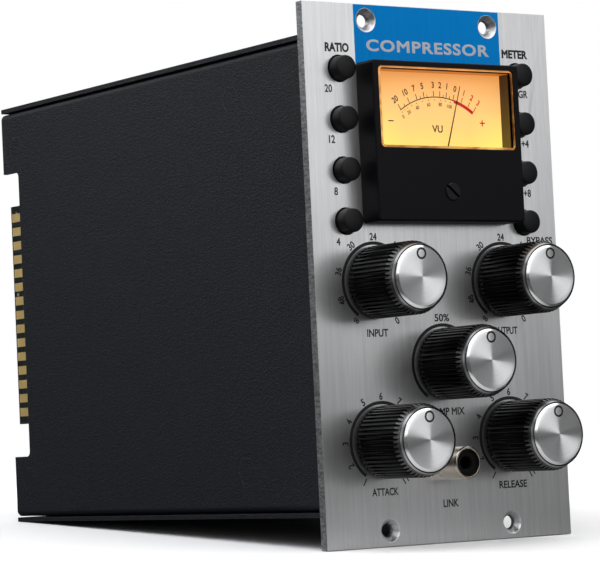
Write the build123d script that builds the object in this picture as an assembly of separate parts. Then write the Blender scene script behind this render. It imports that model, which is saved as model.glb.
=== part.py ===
from build123d import *
import os
from math import cos, pi, radians, sin, tan

# Rack compressor in the double-width 500-series format, in millimetres.
# +X is to the right seen from the front, +Y goes back into the module and +Z is up.
# The origin is the middle of the four rack screws, on the rear face of the front panel.

# ---- driving dimensions -------------------------------------------------------------
PANEL_W = 76.2
PANEL_H = 133.35
PANEL_T = 2.5
SCREW_X = 19.05
SCREW_Z = 62.7
SCREW_HOLE_R = 1.65
SCREW_SINK_R = 2.9

SHEET = 1.2
CHASSIS_HALF_W = 37.6
CHASSIS_HALF_H = 58.7
CHASSIS_DEPTH = 149.7
BEND_OUT = 1.6
BEND_IN = 0.4

COVER_GAP = 0.3
COVER_FLANGE = 10.0
RECESS_TOP = 40.1
RECESS_BOTTOM = -40.4
RECESS_Y = 141.3

BOARD_T = 1.6
BOARD_X = -34.4
BOARD_FRONT = 13.0
BOARD_REAR = 141.0
BOARD_HALF_H = 54.5
TONGUE_END = 152.4
TONGUE_HALF_H = 31.1
CONTACT_PITCH = 3.9624
CONTACT_COUNT = 15
CONTACT_W = 2.4
CONTACT_T = 0.08
STANDOFF_Y = (31.5, 142.0)
EAR_REAR = 147.5
EAR_IN = 41.0
STANDOFF_Z = 46.8

CONTROL_Y = 10.0
CONTROL_HALF_W = 32.2
CONTROL_TOP = 55.0
CONTROL_BOTTOM = -51.5
LINK_PINS = 8
LINK_PITCH = 2.54
LINK_X = -29.3

TRANSFORMER_X = -22.5
TRANSFORMER_Y = (66.0, 108.0)
TRANSFORMER_Z = -34.0
CORE_HALF = (6.0, 15.0, 12.0)
WINDOW_FROM = 4.0
WINDOW_TO = 10.0
WINDOW_HALF_H = 7.0
CAPACITORS = (
    # y, z, radius, height
    (44.0, 42.0, 5.0, 12.5), (56.0, 42.0, 5.0, 12.5), (68.0, 42.0, 5.0, 12.5), (80.0, 42.0, 5.0, 12.5),
    (94.0, 43.0, 6.3, 16.0), (109.0, 43.0, 6.3, 16.0), (44.0, -14.0, 3.2, 7.0), (54.0, -14.0, 3.2, 7.0),
    (92.0, -14.0, 3.2, 7.0), (102.0, -14.0, 3.2, 7.0), (124.0, 43.0, 5.0, 12.5), (112.0, -14.0, 3.2, 7.0),
)
CHIPS = (
    # y, z, length along Z
    (44.0, 22.0, 9.8), (60.0, 22.0, 9.8), (76.0, 22.0, 9.8), (92.0, 20.0, 19.3), (108.0, 20.0, 19.3),
    (44.0, 3.0, 9.8), (60.0, 3.0, 9.8), (76.0, 3.0, 9.8), (124.0, 20.0, 9.8),
)

KNOBS = {
    "input": (-20.0, -2.1),
    "output": (20.0, -2.1),
    "mix": (0.0, -22.5),
    "attack": (-20.0, -41.2),
    "release": (20.0, -41.2),
}
KNOB_BASE_Y = -3.4
KNOB_FACE_Y = -21.2
KNOB_BASE_R = 9.0
KNOB_SHOULDER_R = 8.8
KNOB_NOSE_R = 7.95
KNOB_BEVEL = 2.1
KNOB_FLUTES = 48
FLUTE_DEPTH = 0.62
CAP_R = 7.7
CAP_T = 1.0
CAP_PROUD = 0.5
POINTER_R = 1.25
POINTER_LINE = 0.36
POINTER_OUT = 5.6
POINTER_DEPTH = 0.12
SHAFT_R = 3.0
SHAFT_FLAT = 1.5
BUSHING_R = 3.5
SHAFT_FRONT_Y = -16.5
SHAFT_FLAT_Y = -8.0
SKIRT_FLOOR_Y = -9.0
RUNNING = 0.04

BUTTON_X = 27.8
BUTTON_TOP_Z = 50.4
BUTTON_PITCH = 12.5
BUTTON_HOLE_R = 3.37
BUTTON_BASE_R = 3.08
BUTTON_FACE_R = 2.92
BUTTON_FACE_Y = -5.8
BUTTON_TRAVEL = 1.5
RATIO_NAMES = ("ratio_20", "ratio_12", "ratio_8", "ratio_4")
METER_NAMES = ("meter_gr", "meter_plus4", "meter_plus8", "meter_bypass")

METER_HALF_W = 22.75
METER_TOP = 52.0
METER_BOTTOM = 12.4
METER_FACE_Y = -9.5
METER_WALL_Y = -7.9
WINDOW_HALF_W = 21.1
WINDOW_TOP = 50.6
WINDOW_BOTTOM = 30.5
CASE_HALF_W = 20.4
CASE_TOP = 50.0
CASE_BOTTOM = 14.4
CASE_FRONT_Y = -4.0
CASE_REAR_Y = 22.0
CASE_WALL = 1.2
DIAL_Y = -4.6
PIVOT_Z = 24.2
NEEDLE_REST = 16.2
NEEDLE_TIP = 23.5
NEEDLE_Y = -5.6
NEEDLE_TAIL = 4.5
COIL_HALF = 6.2
COIL_BAR = 0.8
COIL_FRONT_Y = 0.9
COIL_REAR_Y = 13.1
ZERO_Z = 19.8
ZERO_R = 2.2
ZERO_SLOT_TILT = 40.0

JACK_Z = -47.2
JACK_FACE_Y = -10.3
JACK_R = 4.1
JACK_BORE_R = 3.4
JACK_SHANK_R = 3.2
PLUG_PIN_R = 1.6
JACK_STEP_Y = -3.0
JACK_REAR_Y = 5.0

STUDS = ((-13.0, 54.3), (13.0, 54.3), (-20.0, -54.3), (20.0, -54.3))
TAB_H = 6.0
TAB_HALF_W = 5.0
COVER_SCREW_X = -30.5
COVER_SCREW_Y = (25.0, 125.0)

os.makedirs("parts", exist_ok=True)


# ---- helpers ------------------------------------------------------------------------
def block(x0, x1, y0, y1, z0, z1):
    """A box given by its two corners."""
    centre = Pos((x0 + x1) / 2, (y0 + y1) / 2, (z0 + z1) / 2)
    return centre * Box(abs(x1 - x0), abs(y1 - y0), abs(z1 - z0))


def rod_y(x, z, r, y0, y1):
    """A round bar along Y."""
    return Pos(x, (y0 + y1) / 2, z) * Rot(90, 0, 0) * Cylinder(r, abs(y1 - y0))


def rod_x(y, z, r, x0, x1):
    """A round bar along X."""
    return Pos((x0 + x1) / 2, y, z) * Rot(0, 90, 0) * Cylinder(r, abs(x1 - x0))


def rod_z(x, y, r, z0, z1):
    """A round bar along Z."""
    return Pos(x, y, (z0 + z1) / 2) * Cylinder(r, abs(z1 - z0))


def front_plane(x, y, z):
    """A plane facing the rear. Its X runs to the right and its Y runs down."""
    return Plane(origin=(x, y, z), x_dir=(1, 0, 0), z_dir=(0, 1, 0))


def hex_y(x, z, across, y0, y1):
    """A hexagonal bar along Y, given by its size across the flats."""
    outline = RegularPolygon(across / 2, 6, major_radius=False)
    return extrude(front_plane(x, y0, z) * outline, y1 - y0)


def turned(points, x=0.0, z=0.0):
    """A part turned about an axis along Y, from (radius, y) points of its half section."""
    wire = Polyline(*[(r, y, 0) for r, y in points], close=True)
    return Pos(x, 0, z) * revolve(make_face(wire), Axis.Y)


def button_z(index):
    """Height of a button in its column, counted from the top."""
    return BUTTON_TOP_Z - index * BUTTON_PITCH


def joined(solids):
    """Separate solids that share one node."""
    return Compound(children=list(solids))


def save(name, shape):
    """Write one node."""
    export_step(shape, os.path.join("parts", name + ".step"))


# ---- panel and chassis --------------------------------------------------------------
def front_panel():
    half_w = PANEL_W / 2
    half_h = PANEL_H / 2
    panel = block(-half_w, half_w, -PANEL_T, 0, -half_h, half_h)
    sink_depth = (SCREW_SINK_R - SCREW_HOLE_R) / tan(radians(41))
    sink = [(0, -PANEL_T), (SCREW_SINK_R, -PANEL_T), (SCREW_HOLE_R, -PANEL_T + sink_depth)]
    sink += [(SCREW_HOLE_R, 0), (0, 0)]
    for x in (-SCREW_X, SCREW_X):
        for z in (-SCREW_Z, SCREW_Z):
            panel -= turned(sink, x, z)
    for x, z in KNOBS.values():
        panel -= rod_y(x, z, BUSHING_R + 0.1, -PANEL_T, 0)
    for side in (-BUTTON_X, BUTTON_X):
        for index in range(4):
            panel -= rod_y(side, button_z(index), BUTTON_HOLE_R, -PANEL_T, 0)
    panel -= rod_y(0, JACK_Z, JACK_SHANK_R + 0.1, -PANEL_T, 0)
    room = 0.15
    half_case = CASE_HALF_W + room
    panel -= block(-half_case, half_case, -PANEL_T, 0, CASE_BOTTOM - room, CASE_TOP + room)
    for x, z in STUDS:
        panel -= rod_y(x, z, 2.1, -1.2, 0)
    return panel


def channel_profile():
    """Section of the folded channel: top, right side and bottom in one sheet."""
    outer = CHASSIS_HALF_H
    inner = CHASSIS_HALF_H - SHEET
    left = -CHASSIS_HALF_W
    right = CHASSIS_HALF_W
    outline = Polyline(
        (left, outer), (right, outer), (right, -outer), (left, -outer), (left, -inner),
        (right - SHEET, -inner), (right - SHEET, inner), (left, inner), close=True,
    )
    face = make_face(outline)
    outside = face.vertices().filter_by(lambda v: v.X > right - 0.1)
    face = fillet(outside, BEND_OUT)
    inside = face.vertices().filter_by(lambda v: abs(v.X - (right - SHEET)) < 0.01)
    return fillet(inside, BEND_IN)


def chassis_channel():
    plane = Plane(origin=(0, CHASSIS_DEPTH, 0), x_dir=(1, 0, 0), z_dir=(0, -1, 0))
    channel = extrude(plane * channel_profile(), CHASSIS_DEPTH)
    inner = CHASSIS_HALF_H - SHEET
    for x, z in STUDS:
        edge = inner if z > 0 else -inner
        root = edge - TAB_H if z > 0 else edge
        channel += block(x - TAB_HALF_W, x + TAB_HALF_W, 0, SHEET, root, root + TAB_H)
        channel -= rod_y(x, z, 1.45, 0, SHEET)
    for y in COVER_SCREW_Y:
        for sign in (-1, 1):
            channel -= cover_screw_cone(y, sign)
            channel -= rod_z(COVER_SCREW_X, y, 1.25, sign * (inner - 0.01), sign * CHASSIS_HALF_H)
    return channel


def cover_screw_cone(y, sign):
    """The countersunk head of a cover screw, on the top (+1) or the bottom (-1) plate."""
    cone = Cone(1.25, 2.35, SHEET)
    if sign < 0:
        cone = Rot(180, 0, 0) * cone
    return Pos(COVER_SCREW_X, y, sign * (CHASSIS_HALF_H - SHEET / 2)) * cone


def side_cover():
    """Tray that closes the left side, with its flanges just inside the channel."""
    top = CHASSIS_HALF_H - SHEET - COVER_GAP
    left = -CHASSIS_HALF_W
    outline = Polyline(
        (left, top), (left + COVER_FLANGE, top), (left + COVER_FLANGE, top - SHEET),
        (left + SHEET, top - SHEET), (left + SHEET, -top + SHEET), (left + COVER_FLANGE, -top + SHEET),
        (left + COVER_FLANGE, -top), (left, -top), close=True,
    )
    face = make_face(outline)
    outside = face.vertices().filter_by(lambda v: v.X < left + 0.1)
    face = fillet(outside, BEND_OUT)
    inside = face.vertices().filter_by(lambda v: abs(v.X - left - SHEET) < 0.01)
    face = fillet(inside, BEND_IN)
    plane = Plane(origin=(0, CHASSIS_DEPTH, 0), x_dir=(1, 0, 0), z_dir=(0, -1, 0))
    cover = extrude(plane * face, CHASSIS_DEPTH)
    notch = block(left, left + SHEET, RECESS_Y, CHASSIS_DEPTH, RECESS_BOTTOM, RECESS_TOP)
    corners = notch.edges().filter_by(Axis.X).filter_by(lambda e: e.center().Y < RECESS_Y + 0.1)
    cover -= fillet(corners, 1.5)
    for y in COVER_SCREW_Y:
        for sign in (-1, 1):
            cover -= rod_z(COVER_SCREW_X, y, 1.25, sign * (top - SHEET), sign * top)
    for y in STANDOFF_Y:
        for z in (-STANDOFF_Z, STANDOFF_Z):
            cover -= standoff_head(y, z)
    return cover


def cover_screws():
    screws = []
    end = CHASSIS_HALF_H - 2 * SHEET - COVER_GAP - 0.8
    for y in COVER_SCREW_Y:
        for sign in (-1, 1):
            screw = cover_screw_cone(y, sign)
            screw += rod_z(COVER_SCREW_X, y, 1.25, sign * end, sign * (CHASSIS_HALF_H - SHEET))
            recess = RegularPolygon(0.75, 6, major_radius=False)
            socket = extrude(Plane.XY * recess, 0.8)
            screw -= Pos(COVER_SCREW_X, y, sign * CHASSIS_HALF_H - (0.8 if sign > 0 else 0)) * socket
            screws.append(screw)
    return joined(screws)


def panel_studs():
    return joined(rod_y(x, z, 2.1, -1.2, 0) + rod_y(x, z, 1.25, 0, 5) for x, z in STUDS)


def panel_nuts():
    rear = SHEET + 2
    return joined(hex_y(x, z, 5.0, SHEET, rear) - rod_y(x, z, 1.25, SHEET, rear) for x, z in STUDS)


# ---- boards -------------------------------------------------------------------------
def standoff_head(y, z):
    """The hexagon of a standoff, pressed flush into the cover."""
    plane = Plane(origin=(-CHASSIS_HALF_W, y, z), x_dir=(0, 1, 0), z_dir=(1, 0, 0))
    return extrude(plane * RegularPolygon(3.2, 6, major_radius=False), SHEET)


def board_standoffs():
    inside = -CHASSIS_HALF_W + SHEET
    posts = []
    for y in STANDOFF_Y:
        for z in (-STANDOFF_Z, STANDOFF_Z):
            post = standoff_head(y, z) + rod_x(y, z, 2.7, inside, BOARD_X)
            posts.append(post - rod_x(y, z, 1.5, inside - 0.6, BOARD_X))
    return joined(posts)


def board_screws():
    right = BOARD_X + BOARD_T
    screws = []
    for y in STANDOFF_Y:
        for z in (-STANDOFF_Z, STANDOFF_Z):
            screw = rod_x(y, z, 1.5, BOARD_X - 2.4, right) + rod_x(y, z, 2.8, right, right + 1.9)
            screw -= block(right + 0.9, right + 1.9, y - 1.8, y + 1.8, z - 0.35, z + 0.35)
            screw -= block(right + 0.9, right + 1.9, y - 0.35, y + 0.35, z - 1.8, z + 1.8)
            screws.append(screw)
    return joined(screws)


def main_board():
    """Carrier board with the card-edge tongue at the rear."""
    right = BOARD_X + BOARD_T
    board = block(BOARD_X, right, BOARD_FRONT, BOARD_REAR, -BOARD_HALF_H, BOARD_HALF_H)
    tongue = block(BOARD_X, right, BOARD_REAR, TONGUE_END, -TONGUE_HALF_H, TONGUE_HALF_H)
    for low, high in ((EAR_IN, BOARD_HALF_H), (-BOARD_HALF_H, -EAR_IN)):
        board += block(BOARD_X, right, BOARD_REAR, EAR_REAR, low, high)
    tongue_end = tongue.edges().filter_by(Axis.Z).filter_by(lambda e: e.center().Y > TONGUE_END - 0.1)
    board += chamfer(tongue_end, 0.4)
    for y in STANDOFF_Y:
        for z in (-STANDOFF_Z, STANDOFF_Z):
            board -= rod_x(y, z, 1.6, BOARD_X, right)
    return board


def edge_contacts():
    """Gold fingers on both faces of the tongue."""
    fingers = []
    for index in range(CONTACT_COUNT):
        z = (index - (CONTACT_COUNT - 1) / 2) * CONTACT_PITCH
        low = z - CONTACT_W / 2
        high = z + CONTACT_W / 2
        fingers.append(block(BOARD_X - CONTACT_T, BOARD_X, 142.5, 151.4, low, high))
        right = BOARD_X + BOARD_T
        fingers.append(block(right, right + CONTACT_T, 142.5, 151.4, low, high))
    return joined(fingers)


def control_board():
    """Board behind the panel that carries the potentiometers and the switches."""
    rear = CONTROL_Y + BOARD_T
    board = block(-CONTROL_HALF_W, CONTROL_HALF_W, CONTROL_Y, rear, CONTROL_BOTTOM, CONTROL_TOP)
    board -= block(-CASE_HALF_W - 1, CASE_HALF_W + 1, CONTROL_Y, rear, CASE_BOTTOM - 1.2, CONTROL_TOP)
    return board


def link_pin_z(index):
    return (index - (LINK_PINS - 1) / 2) * LINK_PITCH


def board_socket():
    rear = CONTROL_Y + BOARD_T
    half = LINK_PINS * LINK_PITCH / 2
    socket = block(LINK_X - 2.5, LINK_X + 2.5, rear, rear + 8.5, -half, half)
    for index in range(LINK_PINS):
        z = link_pin_z(index)
        socket -= block(LINK_X - 0.4, LINK_X + 0.4, rear + 1, rear + 8.5, z - 0.4, z + 0.4)
    return socket


def board_header():
    """Right-angle pin header that plugs the control board into the main board."""
    start = CONTROL_Y + BOARD_T + 9.0
    half = LINK_PINS * LINK_PITCH / 2
    right = BOARD_X + BOARD_T
    body = block(right, LINK_X + 2.5, start, start + 2.5, -half, half)
    pins = []
    for index in range(LINK_PINS):
        z = link_pin_z(index)
        pin = block(LINK_X - 0.32, LINK_X + 0.32, start - 7, start + 5, z - 0.32, z + 0.32)
        body -= pin
        pins.append(pin + block(right, LINK_X + 0.32, start + 4.36, start + 5, z - 0.32, z + 0.32))
    return joined([body] + pins)


# ---- components on the main board ---------------------------------------------------
def transformer_cores():
    cores = []
    for y in TRANSFORMER_Y:
        place = Pos(TRANSFORMER_X, y, TRANSFORMER_Z)
        half_x, half_y, half_z = CORE_HALF
        core = block(-half_x, half_x, -half_y, half_y, -half_z, half_z)
        for sign in (-1, 1):
            near = sign * WINDOW_FROM
            far = sign * WINDOW_TO
            core -= block(-half_x, half_x, near, far, -WINDOW_HALF_H, WINDOW_HALF_H)
        cores.append(place * core)
    return joined(cores)


def transformer_windings():
    windings = []
    for y in TRANSFORMER_Y:
        half = TRANSFORMER_X - (BOARD_X + BOARD_T)
        coil = block(-half, half, -9.4, 9.4, -6.8, 6.8)
        coil = fillet(coil.edges().filter_by(Axis.Z), 2.0)
        half_x = CORE_HALF[0]
        coil -= block(-half_x, half_x, -WINDOW_FROM, WINDOW_FROM, -WINDOW_HALF_H, WINDOW_HALF_H)
        windings.append(Pos(TRANSFORMER_X, y, TRANSFORMER_Z) * coil)
    return joined(windings)


def capacitors():
    right = BOARD_X + BOARD_T
    cans = []
    for y, z, r, height in CAPACITORS:
        can = rod_x(y, z, r, right, right + height)
        rim = can.edges().sort_by(Axis.X)[-1]
        cans.append(fillet(rim, 0.5))
    return joined(cans)


def integrated_circuits():
    right = BOARD_X + BOARD_T
    chips = []
    for y, z, length in CHIPS:
        body = block(right + 0.6, right + 3.9, y - 3.2, y + 3.2, z - length / 2, z + length / 2)
        legs = int(length // 2.54)
        for index in range(legs):
            leg_z = z + (index - (legs - 1) / 2) * 2.54
            body += block(right, right + 2.2, y - 3.9, y - 3.2, leg_z - 0.3, leg_z + 0.3)
            body += block(right, right + 2.2, y + 3.2, y + 3.9, leg_z - 0.3, leg_z + 0.3)
        chips.append(body)
    return joined(chips)


def voltage_regulators():
    right = BOARD_X + BOARD_T
    parts = []
    for z in (-2.0, -16.0):
        body = block(right, right + 9.2, 130.0, 134.4, z - 5.1, z + 5.1)
        tab = block(right + 9.2, right + 15.6, 133.1, 134.4, z - 5.1, z + 5.1)
        tab -= rod_y(right + 12.8, z, 1.8, 133.1, 134.4)
        parts.append(body + tab)
    return joined(parts)


# ---- knobs and potentiometers -------------------------------------------------------
def fluted_outline():
    """Round outline with evenly spaced hollow flutes."""
    ridge_r = KNOB_BASE_R + 0.3
    valley_r = KNOB_BASE_R - FLUTE_DEPTH
    step = 2 * pi / KNOB_FLUTES
    land = step * 0.26
    pieces = []
    for index in range(KNOB_FLUTES):
        start = index * step
        flute_from = start + land
        middle = (flute_from + start + step) / 2
        a = (ridge_r * cos(start), ridge_r * sin(start))
        b = (ridge_r * cos(flute_from), ridge_r * sin(flute_from))
        low = (valley_r * cos(middle), valley_r * sin(middle))
        c = (ridge_r * cos(start + step), ridge_r * sin(start + step))
        pieces.append(Line(a, b))
        pieces.append(ThreePointArc(b, low, c))
    return make_face(Wire(pieces))


def d_shaft(r, y0, y1):
    """Round shaft with the potentiometer's flat at its top."""
    return rod_y(0, 0, r, y0, y1) - block(-r, r, y0, y1, SHAFT_FLAT, r + 1)


def knob_body():
    blank = extrude(front_plane(0, KNOB_FACE_Y, 0) * fluted_outline(), KNOB_BASE_Y - KNOB_FACE_Y)
    envelope = turned([
        (0, KNOB_BASE_Y), (KNOB_BASE_R - 0.3, KNOB_BASE_Y), (KNOB_BASE_R, KNOB_BASE_Y - 0.3),
        (KNOB_SHOULDER_R, KNOB_FACE_Y + KNOB_BEVEL), (KNOB_NOSE_R, KNOB_FACE_Y), (0, KNOB_FACE_Y),
    ])
    body = blank & envelope
    body -= rod_y(0, 0, CAP_R, KNOB_FACE_Y, KNOB_FACE_Y + CAP_T - CAP_PROUD)
    body -= rod_y(0, 0, 6.9, SKIRT_FLOOR_Y, KNOB_BASE_Y)
    body -= d_shaft(SHAFT_R, SHAFT_FRONT_Y, SKIRT_FLOOR_Y)
    return body


def knob_cap():
    front = KNOB_FACE_Y - CAP_PROUD
    cap = turned([
        (0, front), (CAP_R - 0.4, front), (CAP_R, front + 0.4), (CAP_R, front + CAP_T), (0, front + CAP_T),
    ])
    line = rod_y(0, POINTER_OUT, POINTER_R + POINTER_LINE / 2, front, front + POINTER_DEPTH)
    line -= rod_y(0, POINTER_OUT, POINTER_R - POINTER_LINE / 2, front, front + POINTER_DEPTH)
    return cap - line


def potentiometer_shaft():
    shaft = rod_y(0, 0, SHAFT_R, SHAFT_FLAT_Y, 7.5)
    return shaft + d_shaft(SHAFT_R, SHAFT_FRONT_Y, SHAFT_FLAT_Y)


def potentiometer():
    body = block(-4.9, 4.9, 3, CONTROL_Y, -5.6, 6.2) + rod_y(0, 0, BUSHING_R, -7, 3)
    return body - rod_y(0, 0, SHAFT_R + RUNNING, -7, 8)


def at_each_knob(shape):
    """The same piece behind every knob, as one node."""
    return joined(Pos(x, 0, z) * shape for x, z in KNOBS.values())


def potentiometer_washer():
    return rod_y(0, 0, 5.5, -3.0, -PANEL_T) - rod_y(0, 0, BUSHING_R + 0.1, -3.0, -PANEL_T)


def potentiometer_nut():
    return hex_y(0, 0, 10.0, -5.0, -3.0) - rod_y(0, 0, BUSHING_R, -5.0, -3.0)


# ---- buttons and switches -----------------------------------------------------------
def button():
    """Push button: a slightly domed, tapered cap on a round stem."""
    dome = 0.22
    skirt_y = 1.0
    edge = 0.35
    top = Line((0, 6.0), (0, BUTTON_FACE_Y - dome))
    crown = ThreePointArc(
        (0, BUTTON_FACE_Y - dome), ((BUTTON_FACE_R - edge) / 2, BUTTON_FACE_Y - dome * 0.72),
        (BUTTON_FACE_R - edge, BUTTON_FACE_Y),
    )
    lip = ThreePointArc(
        (BUTTON_FACE_R - edge, BUTTON_FACE_Y), (BUTTON_FACE_R - edge * 0.29, BUTTON_FACE_Y + edge * 0.29),
        (BUTTON_FACE_R, BUTTON_FACE_Y + edge),
    )
    rest = Polyline(
        (BUTTON_FACE_R, BUTTON_FACE_Y + edge), (BUTTON_BASE_R, -PANEL_T), (BUTTON_BASE_R, skirt_y),
        (1.5, skirt_y), (1.5, 6.0), (0, 6.0),
    )
    return revolve(make_face(Wire([top, crown, lip] + rest.edges())), Axis.Y)


def switch():
    body = block(-3.75, 3.75, 4, CONTROL_Y, -3.75, 3.75)
    return body - rod_y(0, 0, 1.5 + RUNNING, 4, 8)


def switch_bank(side):
    return joined(Pos(side, 0, button_z(index)) * switch() for index in range(4))


# ---- meter --------------------------------------------------------------------------
def rounded_block(x0, x1, y0, y1, z0, z1, r):
    shape = block(x0, x1, y0, y1, z0, z1)
    return fillet(shape.edges().filter_by(Axis.Y), r)


def meter_bezel():
    """Front housing of the meter: window frame above, plain apron below."""
    bezel = rounded_block(-METER_HALF_W, METER_HALF_W, METER_FACE_Y, -PANEL_T, METER_BOTTOM, METER_TOP, 0.8)
    face = bezel.faces().sort_by(Axis.Y)[0]
    bezel = fillet(face.edges(), 0.5)
    bezel -= block(-CASE_HALF_W, CASE_HALF_W, METER_WALL_Y, -PANEL_T, CASE_BOTTOM, CASE_TOP)
    bezel -= rounded_block(
        -WINDOW_HALF_W, WINDOW_HALF_W, METER_FACE_Y, METER_WALL_Y, WINDOW_BOTTOM, WINDOW_TOP, 1.2,
    )
    return bezel - rod_y(0, ZERO_Z, ZERO_R + RUNNING, METER_FACE_Y, METER_WALL_Y)


def meter_window():
    window = rounded_block(
        -WINDOW_HALF_W, WINDOW_HALF_W, METER_FACE_Y, METER_WALL_Y, WINDOW_BOTTOM, WINDOW_TOP, 1.2,
    )
    face = window.faces().sort_by(Axis.Y)[0]
    return chamfer(face.edges(), 0.55)


def meter_case():
    case = block(-CASE_HALF_W, CASE_HALF_W, CASE_FRONT_Y, CASE_REAR_Y, CASE_BOTTOM, CASE_TOP)
    inside = block(
        -CASE_HALF_W + CASE_WALL, CASE_HALF_W - CASE_WALL, CASE_FRONT_Y, CASE_REAR_Y - CASE_WALL,
        CASE_BOTTOM + CASE_WALL, CASE_TOP - CASE_WALL,
    )
    return case - inside


def meter_dial():
    dial = block(-CASE_HALF_W, CASE_HALF_W, DIAL_Y, CASE_FRONT_Y, CASE_BOTTOM, CASE_TOP)
    return dial - rod_y(0, PIVOT_Z, 1.2, DIAL_Y, CASE_FRONT_Y)


def meter_needle():
    """Tapered pointer on its hub, turned to the 0 VU mark."""
    thick = 0.3
    outline = Polyline(
        (-0.32, NEEDLE_TAIL), (0.32, NEEDLE_TAIL), (0.14, -NEEDLE_TIP), (-0.14, -NEEDLE_TIP), close=True,
    )
    pointer = extrude(front_plane(0, 0, 0) * make_face(outline), thick)
    hub = rod_y(0, 0, 1.1, 0, 0.4)
    weight = block(-0.7, 0.7, 0, 0.4, -NEEDLE_TAIL, -3.2)
    return Pos(0, NEEDLE_Y, PIVOT_Z) * Rot(0, NEEDLE_REST, 0) * (pointer + hub + weight)


def meter_coil():
    """Moving coil: a loop about the core, on a front and a rear half shaft."""
    loop = block(-COIL_HALF, COIL_HALF, COIL_FRONT_Y, COIL_REAR_Y, -1, 1)
    inner = COIL_HALF - COIL_BAR
    loop -= block(-inner, inner, COIL_FRONT_Y + COIL_BAR, COIL_REAR_Y - COIL_BAR, -1, 1)
    loop += rod_y(0, 0, 0.5, NEEDLE_Y + 0.4, COIL_FRONT_Y)
    loop += rod_y(0, 0, 0.5, COIL_REAR_Y, 16.0)
    return Pos(0, 0, PIVOT_Z) * Rot(0, NEEDLE_REST, 0) * loop


def meter_magnet():
    """Yoke tube with the core on two webs, a front bearing bridge and a rear bearing disc."""
    seat = CASE_REAR_Y - CASE_WALL
    outer = 8.2
    gap_r = 6.8
    yoke = rod_y(0, 0, outer, 2, seat) - rod_y(0, 0, gap_r, 2, seat)
    core = rod_y(0, 0, 4.8, 2.4, 11.6)
    webs = block(-1.5, 1.5, 2.4, 11.6, -7.2, 7.2)
    ring = rod_y(0, 0, outer, -0.6, 2) - rod_y(0, 0, gap_r, -0.6, 2)
    posts = ring & block(-1.5, 1.5, -0.6, 2, -9, 9)
    bridge = block(-1.5, 1.5, -0.6, 0.4, -7.4, 7.4)
    disc = rod_y(0, 0, 7.2, 14.5, 15.5)
    movement = yoke + core + webs + posts + bridge + disc
    movement -= rod_y(0, 0, 0.5 + RUNNING, -0.6, 0.4)
    movement -= rod_y(0, 0, 0.5 + RUNNING, 14.5, 15.5)
    return Pos(0, 0, PIVOT_Z) * movement


def meter_lamps():
    """Two lamps behind the lower corners of the dial."""
    seat = CASE_REAR_Y - CASE_WALL
    lamps = []
    for x in (-14.5, 14.5):
        lamp = rod_y(x, PIVOT_Z - 4, 3.2, 12, seat) + rod_y(x, PIVOT_Z - 4, 2.4, 6, 12)
        lamps.append(lamp + Pos(x, 6, PIVOT_Z - 4) * Sphere(2.4))
    return joined(lamps)


def zero_screw():
    """Slotted screw in the apron that sets the needle's zero."""
    screw = rod_y(0, 0, ZERO_R, METER_FACE_Y - 0.4, METER_WALL_Y + 0.05)
    screw = chamfer(screw.edges().sort_by(Axis.Y)[0], 0.2)
    slot = block(-ZERO_R - 1, ZERO_R + 1, METER_FACE_Y - 0.4, METER_FACE_Y + 0.5, -0.35, 0.35)
    screw -= Rot(0, ZERO_SLOT_TILT, 0) * slot
    screw += rod_y(0, 0, 2.9, METER_WALL_Y + 0.05, METER_WALL_Y + 0.65)
    screw += rod_y(0, 1.4, 0.4, METER_WALL_Y + 0.65, METER_WALL_Y + 1.5)
    return Pos(0, 0, ZERO_Z) * screw


# ---- link jack ----------------------------------------------------------------------
def link_jack_shell():
    step_r = 2.4
    return turned([
        (JACK_BORE_R, JACK_FACE_Y), (JACK_R - 0.3, JACK_FACE_Y), (JACK_R, JACK_FACE_Y + 0.3),
        (JACK_R, -PANEL_T), (JACK_SHANK_R, -PANEL_T), (JACK_SHANK_R, JACK_REAR_Y), (step_r, JACK_REAR_Y),
        (step_r, JACK_STEP_Y), (JACK_BORE_R, JACK_STEP_Y),
    ], 0, JACK_Z)


def link_jack_insulator():
    front = JACK_FACE_Y + 1.0
    sleeve_r = PLUG_PIN_R + 0.15
    return turned([
        (sleeve_r, front), (JACK_BORE_R, front), (JACK_BORE_R, JACK_STEP_Y), (2.4, JACK_STEP_Y),
        (2.4, 6.5), (0.9, 6.5), (0.9, 0), (sleeve_r, 0),
    ], 0, JACK_Z)


def link_jack_contact():
    front = JACK_FACE_Y + 1.5
    sleeve_r = PLUG_PIN_R + 0.15
    return turned([
        (PLUG_PIN_R, front), (sleeve_r, front), (sleeve_r, 0), (0.9, 0), (0.9, CONTROL_Y), (0, CONTROL_Y),
        (0, -1), (PLUG_PIN_R, -1),
    ], 0, JACK_Z)


def link_jack_nut():
    return hex_y(0, JACK_Z, 9.5, 0, 2) - rod_y(0, JACK_Z, JACK_SHANK_R, 0, 2)


# ---- write the nodes ----------------------------------------------------------------
save("front_panel", front_panel())
save("chassis_channel", chassis_channel())
save("side_cover", side_cover())
save("cover_screws", cover_screws())
save("panel_studs", panel_studs())
save("panel_nuts", panel_nuts())
save("board_standoffs", board_standoffs())
save("board_screws", board_screws())
save("main_board", main_board())
save("edge_contacts", edge_contacts())
save("control_board", control_board())
save("board_socket", board_socket())
save("board_header", board_header())
save("transformer_cores", transformer_cores())
save("transformer_windings", transformer_windings())
save("capacitors", capacitors())
save("integrated_circuits", integrated_circuits())
save("voltage_regulators", voltage_regulators())
save("potentiometer_bodies", at_each_knob(potentiometer()))
save("potentiometer_washers", at_each_knob(potentiometer_washer()))
save("potentiometer_nuts", at_each_knob(potentiometer_nut()))
save("ratio_switches", switch_bank(-BUTTON_X))
save("meter_switches", switch_bank(BUTTON_X))
save("meter_bezel", meter_bezel())
save("meter_window", meter_window())
save("meter_case", meter_case())
save("meter_dial", meter_dial())
save("meter_needle", meter_needle())
save("meter_coil", meter_coil())
save("meter_magnet", meter_magnet())
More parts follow.
